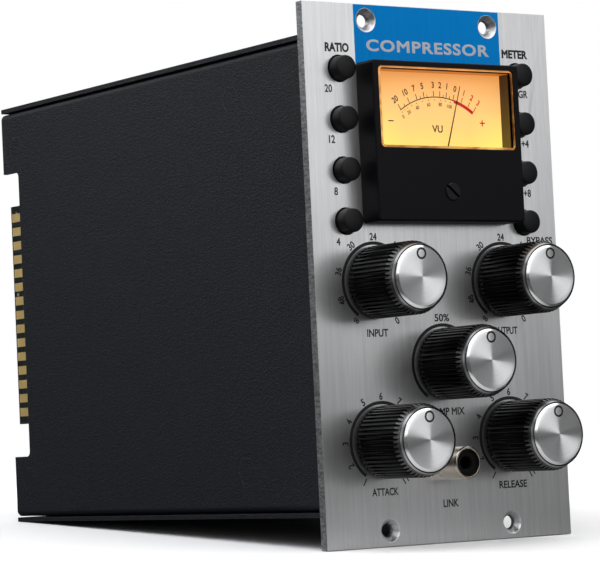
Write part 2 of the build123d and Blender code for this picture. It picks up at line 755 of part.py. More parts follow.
save("meter_lamps", meter_lamps())
save("zero_screw", zero_screw())
save("link_jack_shell", link_jack_shell())
save("link_jack_insulator", link_jack_insulator())
save("link_jack_contact", link_jack_contact())
save("link_jack_nut", link_jack_nut())

body = knob_body()
cap = knob_cap()
shaft = potentiometer_shaft()
for name, (knob_x, knob_z) in KNOBS.items():
    place = Pos(knob_x, 0, knob_z)
    save(name + "_knob", place * body)
    save(name + "_knob_cap", place * cap)
    save(name + "_shaft", place * shaft)

press = button()
for column_x, names in ((-BUTTON_X, RATIO_NAMES), (BUTTON_X, METER_NAMES)):
    for row, name in enumerate(names):
        save(name + "_button", Pos(column_x, 0, button_z(row)) * press)
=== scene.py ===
from math import cos, pi, radians, sin, sqrt

import bmesh
import bpy
from mathutils import Matrix, Vector


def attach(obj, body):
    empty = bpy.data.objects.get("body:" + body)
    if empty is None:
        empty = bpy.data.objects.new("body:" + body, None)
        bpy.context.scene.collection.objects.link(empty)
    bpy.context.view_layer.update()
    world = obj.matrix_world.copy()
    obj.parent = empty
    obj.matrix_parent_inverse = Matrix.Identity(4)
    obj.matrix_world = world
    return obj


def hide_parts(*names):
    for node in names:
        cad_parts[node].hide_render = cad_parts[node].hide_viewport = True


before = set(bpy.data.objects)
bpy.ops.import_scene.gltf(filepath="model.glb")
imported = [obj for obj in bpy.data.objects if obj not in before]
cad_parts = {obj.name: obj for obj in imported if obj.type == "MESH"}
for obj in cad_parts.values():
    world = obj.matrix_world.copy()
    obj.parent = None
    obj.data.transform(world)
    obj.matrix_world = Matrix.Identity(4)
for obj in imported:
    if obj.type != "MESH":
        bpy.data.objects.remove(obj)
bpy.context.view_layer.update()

MM = 0.001

# ---- places and sizes, in millimetres ------------------------------------------------
KNOBS = {
    "input": (-20.0, -2.1),
    "output": (20.0, -2.1),
    "mix": (0.0, -22.5),
    "attack": (-20.0, -41.2),
    "release": (20.0, -41.2),
}
PANEL_FRONT = -2.5
PRINT_PROUD = 0.03
KNOB_BASE_Y = -3.4
KNOB_FACE_Y = -21.2
KNOB_SKIRT = (6.9, -9.0)
KNOB_BORE = (3.04, -16.6)
NOSE_R = 7.95
SHOULDER_R = 8.8
NOSE_BEVEL = 2.1
SATIN_R = 8.22
FLUTES = 48
FLUTE_RIDGE_R = 9.3
FLUTE_DEPTH = 0.92
LAND_SHARE = 0.26
LAND_RADIUS = 8.95
FLUTE_STATIONS = (-1.0, -0.945, -0.8, -0.55, -0.28, 0.0, 0.28, 0.55, 0.8, 0.945, 1.0)
CAP_FACE_Y = KNOB_FACE_Y - 0.5
POINTER_OUT = 5.6
POINTER_R = 1.2
POINTER_HALF_LINE = 0.25
BUTTON_X = 27.8
BUTTON_TOP_Z = 50.4
BUTTON_PITCH = 12.5
BUTTON_FACE_Y = -5.8
RATIO_BUTTONS = ("ratio_20", "ratio_12", "ratio_8", "ratio_4")
METER_BUTTONS = ("meter_gr", "meter_plus4", "meter_plus8", "meter_bypass")
RACK_HOLE_X = 19.05
RACK_HOLE_Z = 62.7
RACK_HOLE_RIM = 3.02
PIVOT_Z = 24.2
DIAL_FRONT = -4.6
DIAL_PRINT_X = -0.12
NEEDLE_Y = -5.5
NEEDLE_LEAN = 16.9
NEEDLE_TIP = 23.55
NEEDLE_TAIL = 3.2
FLOOR_Z = -66.7
CHASSIS_DEPTH = 149.7
PANEL_OVERHANG = 8.0
FLOOR_RISE = PANEL_OVERHANG / CHASSIS_DEPTH
CAMERA_PLACE = (-436.517, -567.749, -41.704)
CAMERA_AIM = (-42.406, -2.5, -1.5)
CAMERA_ROLL = -2.716328


# ---- shader nodes --------------------------------------------------------------------
def fill(tree, node, sockets):
    """Set or link a node's inputs, given by name or index."""
    for key, value in sockets.items():
        if isinstance(value, bpy.types.NodeSocket):
            tree.links.new(value, node.inputs[key])
        else:
            node.inputs[key].default_value = value
    return node


def add(tree, kind, inputs=None, **settings):
    """Add a node with its settings and inputs."""
    made = tree.nodes.new("ShaderNode" + kind)
    for key, value in settings.items():
        setattr(made, key, value)
    return fill(tree, made, inputs or {})


def calc(tree, operation, a, b=0.5, clamp=False):
    return add(tree, "Math", {0: a, 1: b}, operation=operation, use_clamp=clamp).outputs[0]


def remap(tree, value, low, high, to_low=0.0, to_high=1.0):
    sockets = {"Value": value, "From Min": low, "From Max": high, "To Min": to_low, "To Max": to_high}
    return add(tree, "MapRange", sockets).outputs[0]


def blend(tree, factor, a, b):
    """Mix two colours."""
    return add(tree, "Mix", {0: factor, 6: a, 7: b}, data_type="RGBA").outputs[2]


def stretch(tree, vector, scale):
    return add(tree, "VectorMath", {0: vector, 1: scale}, operation="MULTIPLY").outputs[0]


def noise(tree, vector, scale, detail=3.0, rough=0.55):
    sockets = {"Vector": vector, "Scale": scale, "Detail": detail, "Roughness": rough}
    return add(tree, "TexNoise", sockets).outputs["Fac"]


def waves(tree, vector, scale, distortion, **settings):
    """Parallel ridges: laps of tape, stacked sheets or turns of wire."""
    sockets = {"Vector": vector, "Scale": scale, "Distortion": distortion}
    return add(tree, "TexWave", sockets, **settings).outputs["Fac"]


def colour(red, green, blue):
    return (red, green, blue, 1.0)


def shade(level):
    return (level, level, level, 1.0)


def new_group(name, inputs, outputs):
    """A shader node group, with its own input and output sockets."""
    group = bpy.data.node_groups.new(name, "ShaderNodeTree")
    for label, kind, value in inputs:
        socket = group.interface.new_socket(label, in_out="INPUT", socket_type="NodeSocket" + kind)
        if value is not None:
            socket.default_value = value
    for label, kind in outputs:
        group.interface.new_socket(label, in_out="OUTPUT", socket_type="NodeSocket" + kind)
    source = group.nodes.new("NodeGroupInput")
    sink = group.nodes.new("NodeGroupOutput")
    return group, source.outputs, sink.inputs


def use(tree, group, inputs):
    """Place a node group and give back its outputs."""
    made = tree.nodes.new("ShaderNodeGroup")
    made.node_tree = group
    return fill(tree, made, inputs).outputs


def make_brushing():
    """Long scratches left by a belt: fine ones for relief, broad ones for tone."""
    group, source, sink = new_group(
        "brushing",
        [("Vector", "Vector", None), ("Stretch", "Vector", (1.0, 1.0, 1.0)), ("Scale", "Float", 1000.0)],
        [("Height", "Float"), ("Tone", "Float")],
    )
    pulled = stretch(group, source["Vector"], source["Stretch"])
    fine = noise(group, pulled, source["Scale"], 4.0, 0.7)
    broad = noise(group, pulled, calc(group, "MULTIPLY", source["Scale"], 0.22), 3.0)
    both = calc(group, "ADD", calc(group, "MULTIPLY", fine, 0.6), calc(group, "MULTIPLY", broad, 0.4))
    group.links.new(fine, sink["Height"])
    group.links.new(remap(group, both, 0.36, 0.64), sink["Tone"])
    return group


def make_grain():
    """Fine pebbled surface of paint or moulded plastic."""
    group, source, sink = new_group(
        "grain",
        [("Vector", "Vector", None), ("Scale", "Float", 2000.0)],
        [("Height", "Float"), ("Specks", "Float")],
    )
    soft = noise(group, source["Vector"], source["Scale"], 3.0, 0.6)
    cells = add(group, "TexVoronoi", {"Vector": source["Vector"], "Scale": source["Scale"]})
    pebbles = remap(group, cells.outputs["Distance"], 0.0, 0.8, 1.0, 0.0)
    both = calc(group, "ADD", calc(group, "MULTIPLY", soft, 0.7), calc(group, "MULTIPLY", pebbles, 0.3))
    group.links.new(both, sink["Height"])
    group.links.new(remap(group, soft, 0.55, 0.75), sink["Specks"])
    return group


def make_handling():
    """Soft patches where hands and cloths have passed."""
    group, source, sink = new_group(
        "handling",
        [("Vector", "Vector", None), ("Scale", "Float", 30.0)],
        [("Mask", "Float")],
    )
    large = noise(group, source["Vector"], source["Scale"], 5.0, 0.6)
    small = noise(group, source["Vector"], calc(group, "MULTIPLY", source["Scale"], 7.0), 3.0)
    both = calc(group, "MULTIPLY", remap(group, large, 0.38, 0.66), remap(group, small, 0.2, 0.7))
    group.links.new(both, sink["Mask"])
    return group


def make_edge_wear():
    """Thin line along outside edges, broken up as real wear is."""
    group, source, sink = new_group(
        "edge_wear",
        [("Vector", "Vector", None), ("Radius", "Float", 0.0004), ("Scale", "Float", 900.0)],
        [("Mask", "Float")],
    )
    rounded = add(group, "Bevel", {"Radius": source["Radius"]}, samples=4).outputs[0]
    normal = add(group, "NewGeometry").outputs["Normal"]
    along = add(group, "VectorMath", {0: rounded, 1: normal}, operation="DOT_PRODUCT").outputs["Value"]
    edge = remap(group, along, 0.99, 0.8)
    patchy = remap(group, noise(group, source["Vector"], source["Scale"], 4.0), 0.42, 0.62)
    group.links.new(calc(group, "MULTIPLY", edge, patchy), sink["Mask"])
    return group


def make_dust():
    """Pale specks that settle on faces turned upwards."""
    group, source, sink = new_group(
        "dust",
        [("Vector", "Vector", None), ("Scale", "Float", 2600.0)],
        [("Mask", "Float")],
    )
    normal = add(group, "NewGeometry").outputs["Normal"]
    up = add(group, "SeparateXYZ", {0: normal}).outputs["Z"]
    facing = remap(group, up, 0.1, 0.9)
    specks = remap(group, noise(group, source["Vector"], source["Scale"], 2.0), 0.66, 0.74)
    drift = remap(group, noise(group, source["Vector"], 60.0, 3.0), 0.35, 0.7)
    group.links.new(calc(group, "MULTIPLY", calc(group, "MULTIPLY", facing, specks), drift), sink["Mask"])
    return group


BRUSHING = make_brushing()
GRAIN = make_grain()
HANDLING = make_handling()
EDGE_WEAR = make_edge_wear()
DUST = make_dust()


# ---- materials -----------------------------------------------------------------------
def start_material(name):
    """A new material with its node tree, its shader and the object's own coordinates."""
    material = bpy.data.materials.new(name)
    material.use_nodes = True
    tree = material.node_tree
    shader = tree.nodes["Principled BSDF"]
    place = add(tree, "TexCoord").outputs["Object"]
    return material, tree, shader, place


def relief(tree, shader, height, depth, strength=1.0):
    """Bump from a height, with its depth in metres."""
    bump = add(tree, "Bump", {"Strength": strength, "Distance": depth, "Height": height})
    tree.links.new(bump.outputs[0], shader.inputs["Normal"])


def moulded(name, base, rough, grain_scale, depth, specular=0.5, tint=1.6, wear=0.0, dusty=0.35):
    """Moulded or painted surface: grain, patches of polish, dust and a little wear."""
    material, tree, shader, place = start_material(name)
    grain = use(tree, GRAIN, {"Vector": place, "Scale": grain_scale})
    touched = use(tree, HANDLING, {"Vector": place, "Scale": 45.0})["Mask"]
    dust = use(tree, DUST, {"Vector": place, "Scale": 2600.0})["Mask"]
    lighter = colour(*(min(1.0, c * tint) for c in base))
    body = blend(tree, calc(tree, "MULTIPLY", grain["Specks"], 0.5), colour(*base), lighter)
    if wear:
        worn = use(tree, EDGE_WEAR, {"Vector": place, "Radius": 0.0003, "Scale": 700.0})["Mask"]
        pale = colour(*(min(1.0, c * 2.2 + 0.02) for c in base))
        body = blend(tree, calc(tree, "MULTIPLY", worn, wear), body, pale)
    body = blend(tree, calc(tree, "MULTIPLY", dust, dusty), body, shade(0.35))
    fill(tree, shader, {
        "Base Color": body,
        "Roughness": remap(tree, touched, 0.0, 1.0, rough, max(0.05, rough - 0.12)),
        "Specular IOR Level": specular,
    })
    relief(tree, shader, grain["Height"], depth)
    return material


def turned_metal(name, base, rough, darker=0.75, scale=700.0, depth=0.000004):
    """Plain machined or plated metal."""
    material, tree, shader, place = start_material(name)
    grain = use(tree, GRAIN, {"Vector": place, "Scale": scale})
    touched = use(tree, HANDLING, {"Vector": place, "Scale": 80.0})["Mask"]
    dull = colour(*(c * darker for c in base))
    fill(tree, shader, {
        "Base Color": blend(tree, touched, colour(*base), dull),
        "Metallic": 1.0,
        "Roughness": remap(tree, grain["Height"], 0.2, 0.8, rough - 0.06, rough + 0.08),
    })
    relief(tree, shader, grain["Height"], depth)
    return material


def brushed_panel():
    """Clear-anodised plate: belt-brushed face and milled edges."""
    material, tree, shader, place = start_material("brushed_panel")
    lines = use(tree, BRUSHING, {"Vector": place, "Stretch": (1.0, 1.0, 0.018), "Scale": 3600.0})
    touched = use(tree, HANDLING, {"Vector": place, "Scale": 28.0})["Mask"]
    normal = add(tree, "NewGeometry").outputs["Normal"]
    facing = add(tree, "SeparateXYZ", {0: normal}).outputs["Y"]
    edge = remap(tree, calc(tree, "ABSOLUTE", facing), 0.75, 0.55)
    milled = noise(tree, stretch(tree, place, (1.0, 0.35, 1.0)), 1900.0, 4.0, 0.75)
    face_tone = blend(tree, lines["Tone"], colour(0.78, 0.785, 0.80), colour(0.95, 0.955, 0.965))
    cuts = remap(tree, milled, 0.35, 0.65)
    edge_tone = blend(tree, cuts, colour(0.22, 0.225, 0.235), colour(0.70, 0.70, 0.71))
    face_rough = remap(tree, touched, 0.0, 1.0, 0.31, 0.36)
    rough = calc(tree, "ADD", face_rough, calc(tree, "MULTIPLY", edge, 0.16))
    flow = add(tree, "Tangent", direction_type="UV_MAP", uv_map="flow")
    fill(tree, shader, {
        "Base Color": blend(tree, edge, face_tone, edge_tone),
        "Metallic": 1.0,
        "Roughness": rough,
        "Anisotropic": 0.72,
        "Tangent": flow.outputs[0],
    })
    height = add(tree, "Mix", {0: edge, 2: lines["Height"], 3: milled}, data_type="FLOAT").outputs[0]
    relief(tree, shader, height, 0.000006)
    return material


def spun_aluminium():
    """Face-turned cap: fine rings about its own centre, laid out by its UV map."""
    material, tree, shader, place = start_material("spun_aluminium")
    rings = add(tree, "UVMap", uv_map="turning").outputs[0]
    cut = use(tree, BRUSHING, {"Vector": rings, "Stretch": (1.0, 0.004, 1.0), "Scale": 420.0})
    touched = use(tree, HANDLING, {"Vector": place, "Scale": 90.0})["Mask"]
    tone = blend(tree, cut["Tone"], colour(0.80, 0.81, 0.83), colour(0.95, 0.955, 0.96))
    flow = add(tree, "Tangent", direction_type="UV_MAP", uv_map="turning")
    fill(tree, shader, {
        "Base Color": tone,
        "Metallic": 1.0,
        "Roughness": remap(tree, touched, 0.0, 1.0, 0.33, 0.36),
        "Anisotropic": 1.0,
        "Tangent": flow.outputs[0],
    })
    relief(tree, shader, cut["Height"], 0.0000015)
    return material


def satin_shoulder(name, level):
    """Satin metal on the bevel of a knob's nose, bright near the cap; the dim copy on the teeth is painted
    shade.
    """
    material, tree, shader, place = start_material(name)
    grain = use(tree, GRAIN, {"Vector": place, "Scale": 3000.0})
    touched = use(tree, HANDLING, {"Vector": place, "Scale": 120.0})["Mask"]
    fill(tree, shader, {
        "Base Color": blend(tree, touched, shade(level), shade(level * 0.76)),
        "Metallic": 1.0,
        "Roughness": remap(tree, grain["Height"], 0.2, 0.8, 0.26, 0.38),
    })
    relief(tree, shader, grain["Height"], 0.000006)
    return material


def powder_coat():
    """Fine-texture black paint on folded steel."""
    material, tree, shader, place = start_material("black_powder_coat")
    coarse = use(tree, GRAIN, {"Vector": place, "Scale": 2400.0})
    fine = use(tree, GRAIN, {"Vector": place, "Scale": 6200.0})
    touched = use(tree, HANDLING, {"Vector": place, "Scale": 22.0})["Mask"]
    worn = use(tree, EDGE_WEAR, {"Vector": place, "Radius": 0.0005, "Scale": 500.0})["Mask"]
    dust = use(tree, DUST, {"Vector": place, "Scale": 2200.0})["Mask"]
    specks = calc(tree, "MULTIPLY", coarse["Specks"], 0.8)
    body = blend(tree, specks, colour(0.0062, 0.0076, 0.0120), colour(0.042, 0.046, 0.058))
    body = blend(tree, calc(tree, "MULTIPLY", touched, 0.25), body, colour(0.014, 0.0155, 0.020))
    body = blend(tree, calc(tree, "MULTIPLY", worn, 0.4), body, colour(0.11, 0.112, 0.12))
    body = blend(tree, calc(tree, "MULTIPLY", dust, 0.3), body, shade(0.3))
    fill(tree, shader, {
        "Base Color": body,
        "Roughness": remap(tree, touched, 0.0, 1.0, 0.50, 0.45),
        "Specular IOR Level": 0.34,
    })
    height = calc(tree, "ADD", coarse["Height"], calc(tree, "MULTIPLY", fine["Height"], 0.4))
    relief(tree, shader, height, 0.00021)
    return material


def ink(name, base, rough=0.5, glow=0.0):
    """Screen-printed ink, slightly uneven, with pinholes of thinner cover; it may carry a little painted
    glow.
    """
    material, tree, shader, place = start_material(name)
    cover = noise(tree, place, 5200.0, 3.0)
    patch = noise(tree, place, 260.0, 3.0)
    thin = colour(*(min(1.0, c * 1.25 + 0.012) for c in base))
    fill(tree, shader, {
        "Base Color": blend(tree, remap(tree, cover, 0.45, 0.75, 0.0, 0.7), colour(*base), thin),
        "Roughness": remap(tree, patch, 0.3, 0.7, rough - 0.05, rough + 0.06),
        "Emission Color": colour(*base),
        "Emission Strength": glow,
    })
    relief(tree, shader, cover, 0.000004)
    return material


def plate_blue():
    """Blue ink laid over the brushed face, which still shows faintly through."""
    material, tree, shader, place = start_material("plate_blue")
    lines = use(tree, BRUSHING, {"Vector": place, "Stretch": (1.0, 1.0, 0.018), "Scale": 3600.0})
    patch = use(tree, HANDLING, {"Vector": place, "Scale": 60.0})["Mask"]
    body = blend(tree, lines["Tone"], colour(0.0, 0.262, 0.75), colour(0.0, 0.295, 0.84))
    fill(tree, shader, {
        "Base Color": body,
        "Roughness": remap(tree, patch, 0.0, 1.0, 0.5, 0.42),
        "Specular IOR Level": 0.06,
    })
    relief(tree, shader, lines["Height"], 0.000003)
    return material


def dial_glow():
    """Paper dial; the light of two lamps low in the case, shining through from behind, is painted on it as a
    glow.
    """
    material, tree, shader, place = start_material("dial_glow")
    split = add(tree, "SeparateXYZ", {0: place})
    rise = remap(tree, split.outputs["Z"], 0.0305, 0.0500)
    # Painted light: the glow is yellow at the foot, near the lamps, and turns deeper orange towards the top.
    ramp = add(tree, "ValToRGB", {0: rise})
    bands = ((0.0, (1.0, 0.74, 0.13)), (0.10, (1.0, 0.69, 0.155)), (0.32, (1.0, 0.61, 0.18)),
             (0.62, (0.97, 0.54, 0.175)), (0.86, (0.88, 0.40, 0.115)), (1.0, (0.74, 0.29, 0.07)))
    while len(ramp.color_ramp.elements) < len(bands):
        ramp.color_ramp.elements.new(0.5)
    for stop, (at, tone) in zip(ramp.color_ramp.elements, bands):
        stop.position = at
        stop.color = colour(*tone)
    side = calc(tree, "ABSOLUTE", split.outputs["X"])
    # Painted light: yellower still at the lower sides, nearest the lamps.
    corner = calc(tree, "MULTIPLY", remap(tree, side, 0.010, 0.021), remap(tree, rise, 0.55, 0.0))
    lit = blend(tree, corner, ramp.outputs[0], colour(1.0, 0.90, 0.17))
    # Painted shade: deeper orange at the upper sides, far from the lamps.
    falling = remap(tree, side, 0.012, 0.021)
    lit = blend(tree, calc(tree, "MULTIPLY", falling, remap(tree, rise, 0.45, 1.0, 0.0, 0.35)), lit,
                colour(0.72, 0.27, 0.06))
    fibre = noise(tree, place, 2400.0, 4.0)
    lit = blend(tree, remap(tree, fibre, 0.35, 0.75, 0.0, 0.06), lit, colour(0.8, 0.5, 0.15))
    fill(tree, shader, {
        "Base Color": blend(tree, fibre, colour(0.26, 0.19, 0.10), colour(0.32, 0.24, 0.14)),
        "Roughness": remap(tree, fibre, 0.3, 0.7, 0.7, 0.8),
        "Emission Color": lit,
        "Emission Strength": 0.98,
    })
    relief(tree, shader, fibre, 0.000006)
    return material


def acrylic():
    """Clear cast window, polished, with a trace of warm tint."""
    material, tree, shader, place = start_material("clear_window")
    touched = use(tree, HANDLING, {"Vector": place, "Scale": 60.0})["Mask"]
    ripple = noise(tree, place, 40.0, 2.0)
    fill(tree, shader, {
        "Base Color": blend(tree, touched, colour(1.0, 0.985, 0.955), colour(0.99, 0.975, 0.94)),
        "Roughness": remap(tree, touched, 0.0, 1.0, 0.0, 0.03),
        "IOR": 1.12,
        "Transmission Weight": 1.0,
    })
    relief(tree, shader, ripple, 0.000002)
    return material


def lit_edge():
    """Cut edge of the window; the light piped through the sheet is painted on as a glow."""
    material, tree, shader, place = start_material("lit_edge")
    rise = remap(tree, add(tree, "SeparateXYZ", {0: place}).outputs["Z"], 0.0300, 0.0506)
    streak = noise(tree, stretch(tree, place, (1.0, 1.0, 2.5)), 190.0, 3.0)
    # Painted light: the piped glow is yellower low, near the lamps, and deeper orange high.
    warm = blend(tree, rise, colour(1.0, 0.60, 0.14), colour(0.86, 0.30, 0.055))
    glow = blend(tree, remap(tree, streak, 0.35, 0.72), colour(0.30, 0.10, 0.02), warm)
    fill(tree, shader, {
        "Base Color": blend(tree, streak, colour(0.5, 0.3, 0.12), colour(0.7, 0.45, 0.2)),
        "Roughness": remap(tree, streak, 0.3, 0.7, 0.15, 0.35),
        "Emission Color": glow,
        "Emission Strength": 0.9,
    })
    relief(tree, shader, streak, 0.00002)
    return material


def amber_wall():
    """Pale reflector sheet above and below the dial; the lamps' warm light is painted into it, as an amber
    colour and a glow.
    """
    material, tree, shader, place = start_material("amber_wall")
    mottle = noise(tree, place, 300.0, 3.0)
    fill(tree, shader, {
        "Base Color": blend(tree, mottle, colour(0.26, 0.12, 0.03), colour(0.38, 0.18, 0.05)),
        "Roughness": remap(tree, mottle, 0.3, 0.7, 0.35, 0.5),
        "Emission Color": blend(tree, mottle, colour(0.40, 0.10, 0.010), colour(0.66, 0.19, 0.022)),
        "Emission Strength": 0.50,
    })
    relief(tree, shader, mottle, 0.00002)
    return material


def cheek_wall():
    """Dark side wall of the dial well; the lamps' light near its foot is painted on as a glow."""
    material, tree, shader, place = start_material("cheek_wall")
    rise = remap(tree, add(tree, "SeparateXYZ", {0: place}).outputs["Z"], 0.0305, 0.0470)
    mottle = noise(tree, stretch(tree, place, (1.0, 1.0, 0.4)), 420.0, 4.0)
    # Painted light: the glow is bright low, near the lamps, and fades to dark high.
    low = blend(tree, mottle, colour(0.20, 0.13, 0.016), colour(0.09, 0.05, 0.010))
    high = blend(tree, mottle, colour(0.040, 0.022, 0.007), colour(0.016, 0.009, 0.004))
    fill(tree, shader, {
        "Base Color": blend(tree, mottle, colour(0.055, 0.030, 0.010), colour(0.035, 0.020, 0.008)),
        "Roughness": remap(tree, mottle, 0.3, 0.7, 0.4, 0.55),
        "Specular IOR Level": 0.25,
        "Emission Color": blend(tree, rise, low, high),
        "Emission Strength": 0.55,
    })
    relief(tree, shader, mottle, 0.00001)
    return material


def lamp_glass():
    """Small bulb, alight."""
    material, tree, shader, place = start_material("lamp_glass")
    hot = noise(tree, place, 500.0, 2.0)
    fill(tree, shader, {
        "Base Color": blend(tree, hot, colour(0.95, 0.8, 0.55), colour(1.0, 0.9, 0.7)),
        "Roughness": remap(tree, hot, 0.3, 0.7, 0.15, 0.25),
        "Emission Color": blend(tree, hot, colour(1.0, 0.62, 0.22), colour(1.0, 0.75, 0.32)),
        "Emission Strength": 2.0,
    })
    relief(tree, shader, hot, 0.00001)
    return material


def circuit_board():
    """Black solder mask over square-cornered tracks, with tinned pads."""
    material, tree, shader, place = start_material("circuit_board")
    split = add(tree, "SeparateXYZ", {0: place})
    sideways = {0: split.outputs["Y"], 1: split.outputs["Z"], 2: split.outputs["X"]}
    flat = add(tree, "CombineXYZ", sideways).outputs[0]
    turned = add(tree, "Mapping", {"Vector": flat, "Rotation": (0.0, 0.0, pi / 2)}).outputs[0]
    tracks = []
    for vector, scale in ((flat, 62.0), (turned, 88.0)):
        bricks = add(tree, "TexBrick", {
            "Vector": vector, "Scale": scale, "Mortar Size": 0.022, "Brick Width": 1.7, "Row Height": 0.16,
            "Color1": shade(0.0), "Color2": shade(0.0), "Mortar": shade(1.0),
        }, offset=0.37)
        tracks.append(add(tree, "RGBToBW", {0: bricks.outputs[0]}).outputs[0])
    regions = remap(tree, noise(tree, flat, 55.0, 1.0), 0.47, 0.49)
    track = add(tree, "Mix", {0: regions, 2: tracks[0], 3: tracks[1]}, data_type="FLOAT").outputs[0]
    holes = add(tree, "TexVoronoi", {"Vector": flat, "Scale": 210.0, "Randomness": 0.9}).outputs["Distance"]
    via = remap(tree, holes, 0.13, 0.11)
    weave = noise(tree, flat, 2600.0, 2.0)
    body = blend(tree, track, colour(0.008, 0.011, 0.010), colour(0.022, 0.033, 0.028))
    body = blend(tree, via, body, colour(0.45, 0.40, 0.28))
    fill(tree, shader, {
        "Base Color": blend(tree, remap(tree, weave, 0.4, 0.8, 0.0, 0.3), body, colour(0.02, 0.024, 0.022)),
        "Roughness": remap(tree, weave, 0.3, 0.7, 0.30, 0.42),
    })
    relief(tree, shader, calc(tree, "ADD", track, calc(tree, "MULTIPLY", weave, 0.2)), 0.00003)
    return material


def wrapped_tape():
    """Yellow polyester tape round a winding, one lap over the next."""
    material, tree, shader, place = start_material("winding_tape")
    laps = waves(tree, place, 60.0, 0.6, bands_direction="Z", wave_profile="SAW")
    creases = noise(tree, place, 420.0, 4.0)
    fill(tree, shader, {
        "Base Color": blend(tree, creases, colour(0.60, 0.36, 0.035), colour(0.86, 0.60, 0.09)),
        "Roughness": remap(tree, creases, 0.3, 0.7, 0.24, 0.4),
        "Coat Weight": remap(tree, laps, 0.0, 1.0, 0.3, 0.6),
    })
    relief(tree, shader, calc(tree, "ADD", laps, calc(tree, "MULTIPLY", creases, 0.4)), 0.00008)
    return material


def laminated_steel():
    """Stack of thin stampings, seen as lines round the core."""
    material, tree, shader, place = start_material("core_steel")
    sheets = waves(tree, place, 420.0, 0.4, bands_direction="X")
    rust = use(tree, HANDLING, {"Vector": place, "Scale": 120.0})["Mask"]
    fill(tree, shader, {
        "Base Color": blend(tree, rust, colour(0.24, 0.235, 0.23), colour(0.30, 0.22, 0.15)),
        "Metallic": 0.85,
        "Roughness": remap(tree, sheets, 0.0, 1.0, 0.42, 0.58),
    })
    relief(tree, shader, sheets, 0.00006)
    return material


def wound_copper():
    """Fine enamelled wire, seen as rows of turns."""
    material, tree, shader, place = start_material("copper_coil")
    turns = waves(tree, place, 1500.0, 0.3, bands_direction="Z")
    fill(tree, shader, {
        "Base Color": blend(tree, turns, colour(0.55, 0.20, 0.08), colour(0.90, 0.42, 0.20)),
        "Metallic": 1.0,
        "Roughness": remap(tree, turns, 0.0, 1.0, 0.3, 0.45),
    })
    relief(tree, shader, turns, 0.00005)
    return material


MATERIALS = {
    "brushed_panel": brushed_panel(),
    "knob_aluminium": spun_aluminium(),
    "black_powder_coat": powder_coat(),
    "plate_blue": plate_blue(),
    "dial_face": dial_glow(),
    "lit_edge": lit_edge(),
    "amber_wall": amber_wall(),
    "cheek_wall": cheek_wall(),
    "clear_window": acrylic(),
    "lamp_glass": lamp_glass(),
    "circuit_board": circuit_board(),
    "winding_tape": wrapped_tape(),
    "core_steel": laminated_steel(),
    "copper_coil": wound_copper(),
    "knob_black": moulded("knob_black", (0.0010, 0.0010, 0.0013), 0.24, 3200.0, 0.000002,
                          specular=0.15, tint=1.3, dusty=0.02),
    "button_black": moulded("button_black", (0.0046, 0.0046, 0.0058), 0.46, 2600.0, 0.000016, specular=0.28),
    "meter_black": moulded("meter_black", (0.0048, 0.0046, 0.0064), 0.42, 2400.0, 0.000010,
                           specular=0.12, tint=1.5, wear=0.25),
    "black_nylon": moulded("black_nylon", (0.014, 0.014, 0.014), 0.55, 1800.0, 0.00002),
    # The jack's black insulator, darkened further as painted shade for the inside of the barrel.
    "jack_sleeve": moulded("jack_sleeve", (0.0022, 0.0022, 0.0022), 0.6, 1800.0, 0.00002, specular=0.12),
    "shaded_spring": turned_metal("shaded_spring", (0.050, 0.044, 0.036), 0.4),
    "satin_shoulder": satin_shoulder("satin_shoulder", 0.46),
    # Darker copy of the satin metal for the teeth of the bevel: painted shade.
    "teeth_painted_shade": satin_shoulder("teeth_painted_shade", 0.13),
    "cut_edge": turned_metal("cut_edge", (0.86, 0.865, 0.88), 0.16, darker=0.9),
    "chip_epoxy": moulded("chip_epoxy", (0.018, 0.018, 0.019), 0.6, 2200.0, 0.00003),
    "sleeve": moulded("capacitor_sleeve", (0.010, 0.013, 0.030), 0.32, 900.0, 0.00001),
    "needle_black": moulded("needle_black", (0.010, 0.009, 0.008), 0.5, 3000.0, 0.000005),
    "nickel": turned_metal("nickel", (0.56, 0.50, 0.43), 0.20),
    "zinc_steel": turned_metal("zinc_steel", (0.56, 0.56, 0.54), 0.34),
    "black_screw": turned_metal("black_screw", (0.045, 0.045, 0.048), 0.36),
    "gold_contact": turned_metal("gold_contact", (1.0, 0.76, 0.34), 0.60, darker=0.94),
    "ink_black": ink("ink_black", (0.006, 0.006, 0.007)),
    "ink_scale": ink("ink_scale", (0.006, 0.004, 0.002), 0.6),
    # Red ink with a painted glow, standing for the dial's backlight.
    "ink_red": ink("ink_red", (0.55, 0.008, 0.004), 0.6, glow=0.5),
    "ink_silver": ink("ink_silver", (0.60, 0.64, 0.70), 0.42),
}


# ---- pieces --------------------------------------------------------------------------
def soften(bm, sharpest):
    """Smooth faces, with creases kept at edges sharper than an angle."""
    for face in bm.faces:
        face.smooth = True
    for edge in bm.edges:
        edge.smooth = len(edge.link_faces) == 2 and edge.calc_face_angle(0.0) < radians(sharpest)


def make_piece(name, bm, material, body, stands_for=(), sharpest=30.0):
    """Turn a bmesh, in metres and in place, into a piece riding on a body."""
    soften(bm, sharpest)
    mesh = bpy.data.meshes.new(name)
    bm.to_mesh(mesh)
    bm.free()
    piece = bpy.data.objects.new(name, mesh)
    bpy.context.scene.collection.objects.link(piece)
    for entry in material if isinstance(material, tuple) else (material,):
        mesh.materials.append(MATERIALS[entry])
    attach(piece, body)
    if stands_for:
        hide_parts(*stands_for)
    return piece


def in_mm(bm, x=0.0, y=0.0, z=0.0):
    """Take a bmesh from millimetres to metres, at its place."""
    place = Matrix.Scale(MM, 4) @ Matrix.Translation((x, y, z))
    bmesh.ops.transform(bm, matrix=place, verts=bm.verts)
    return bm


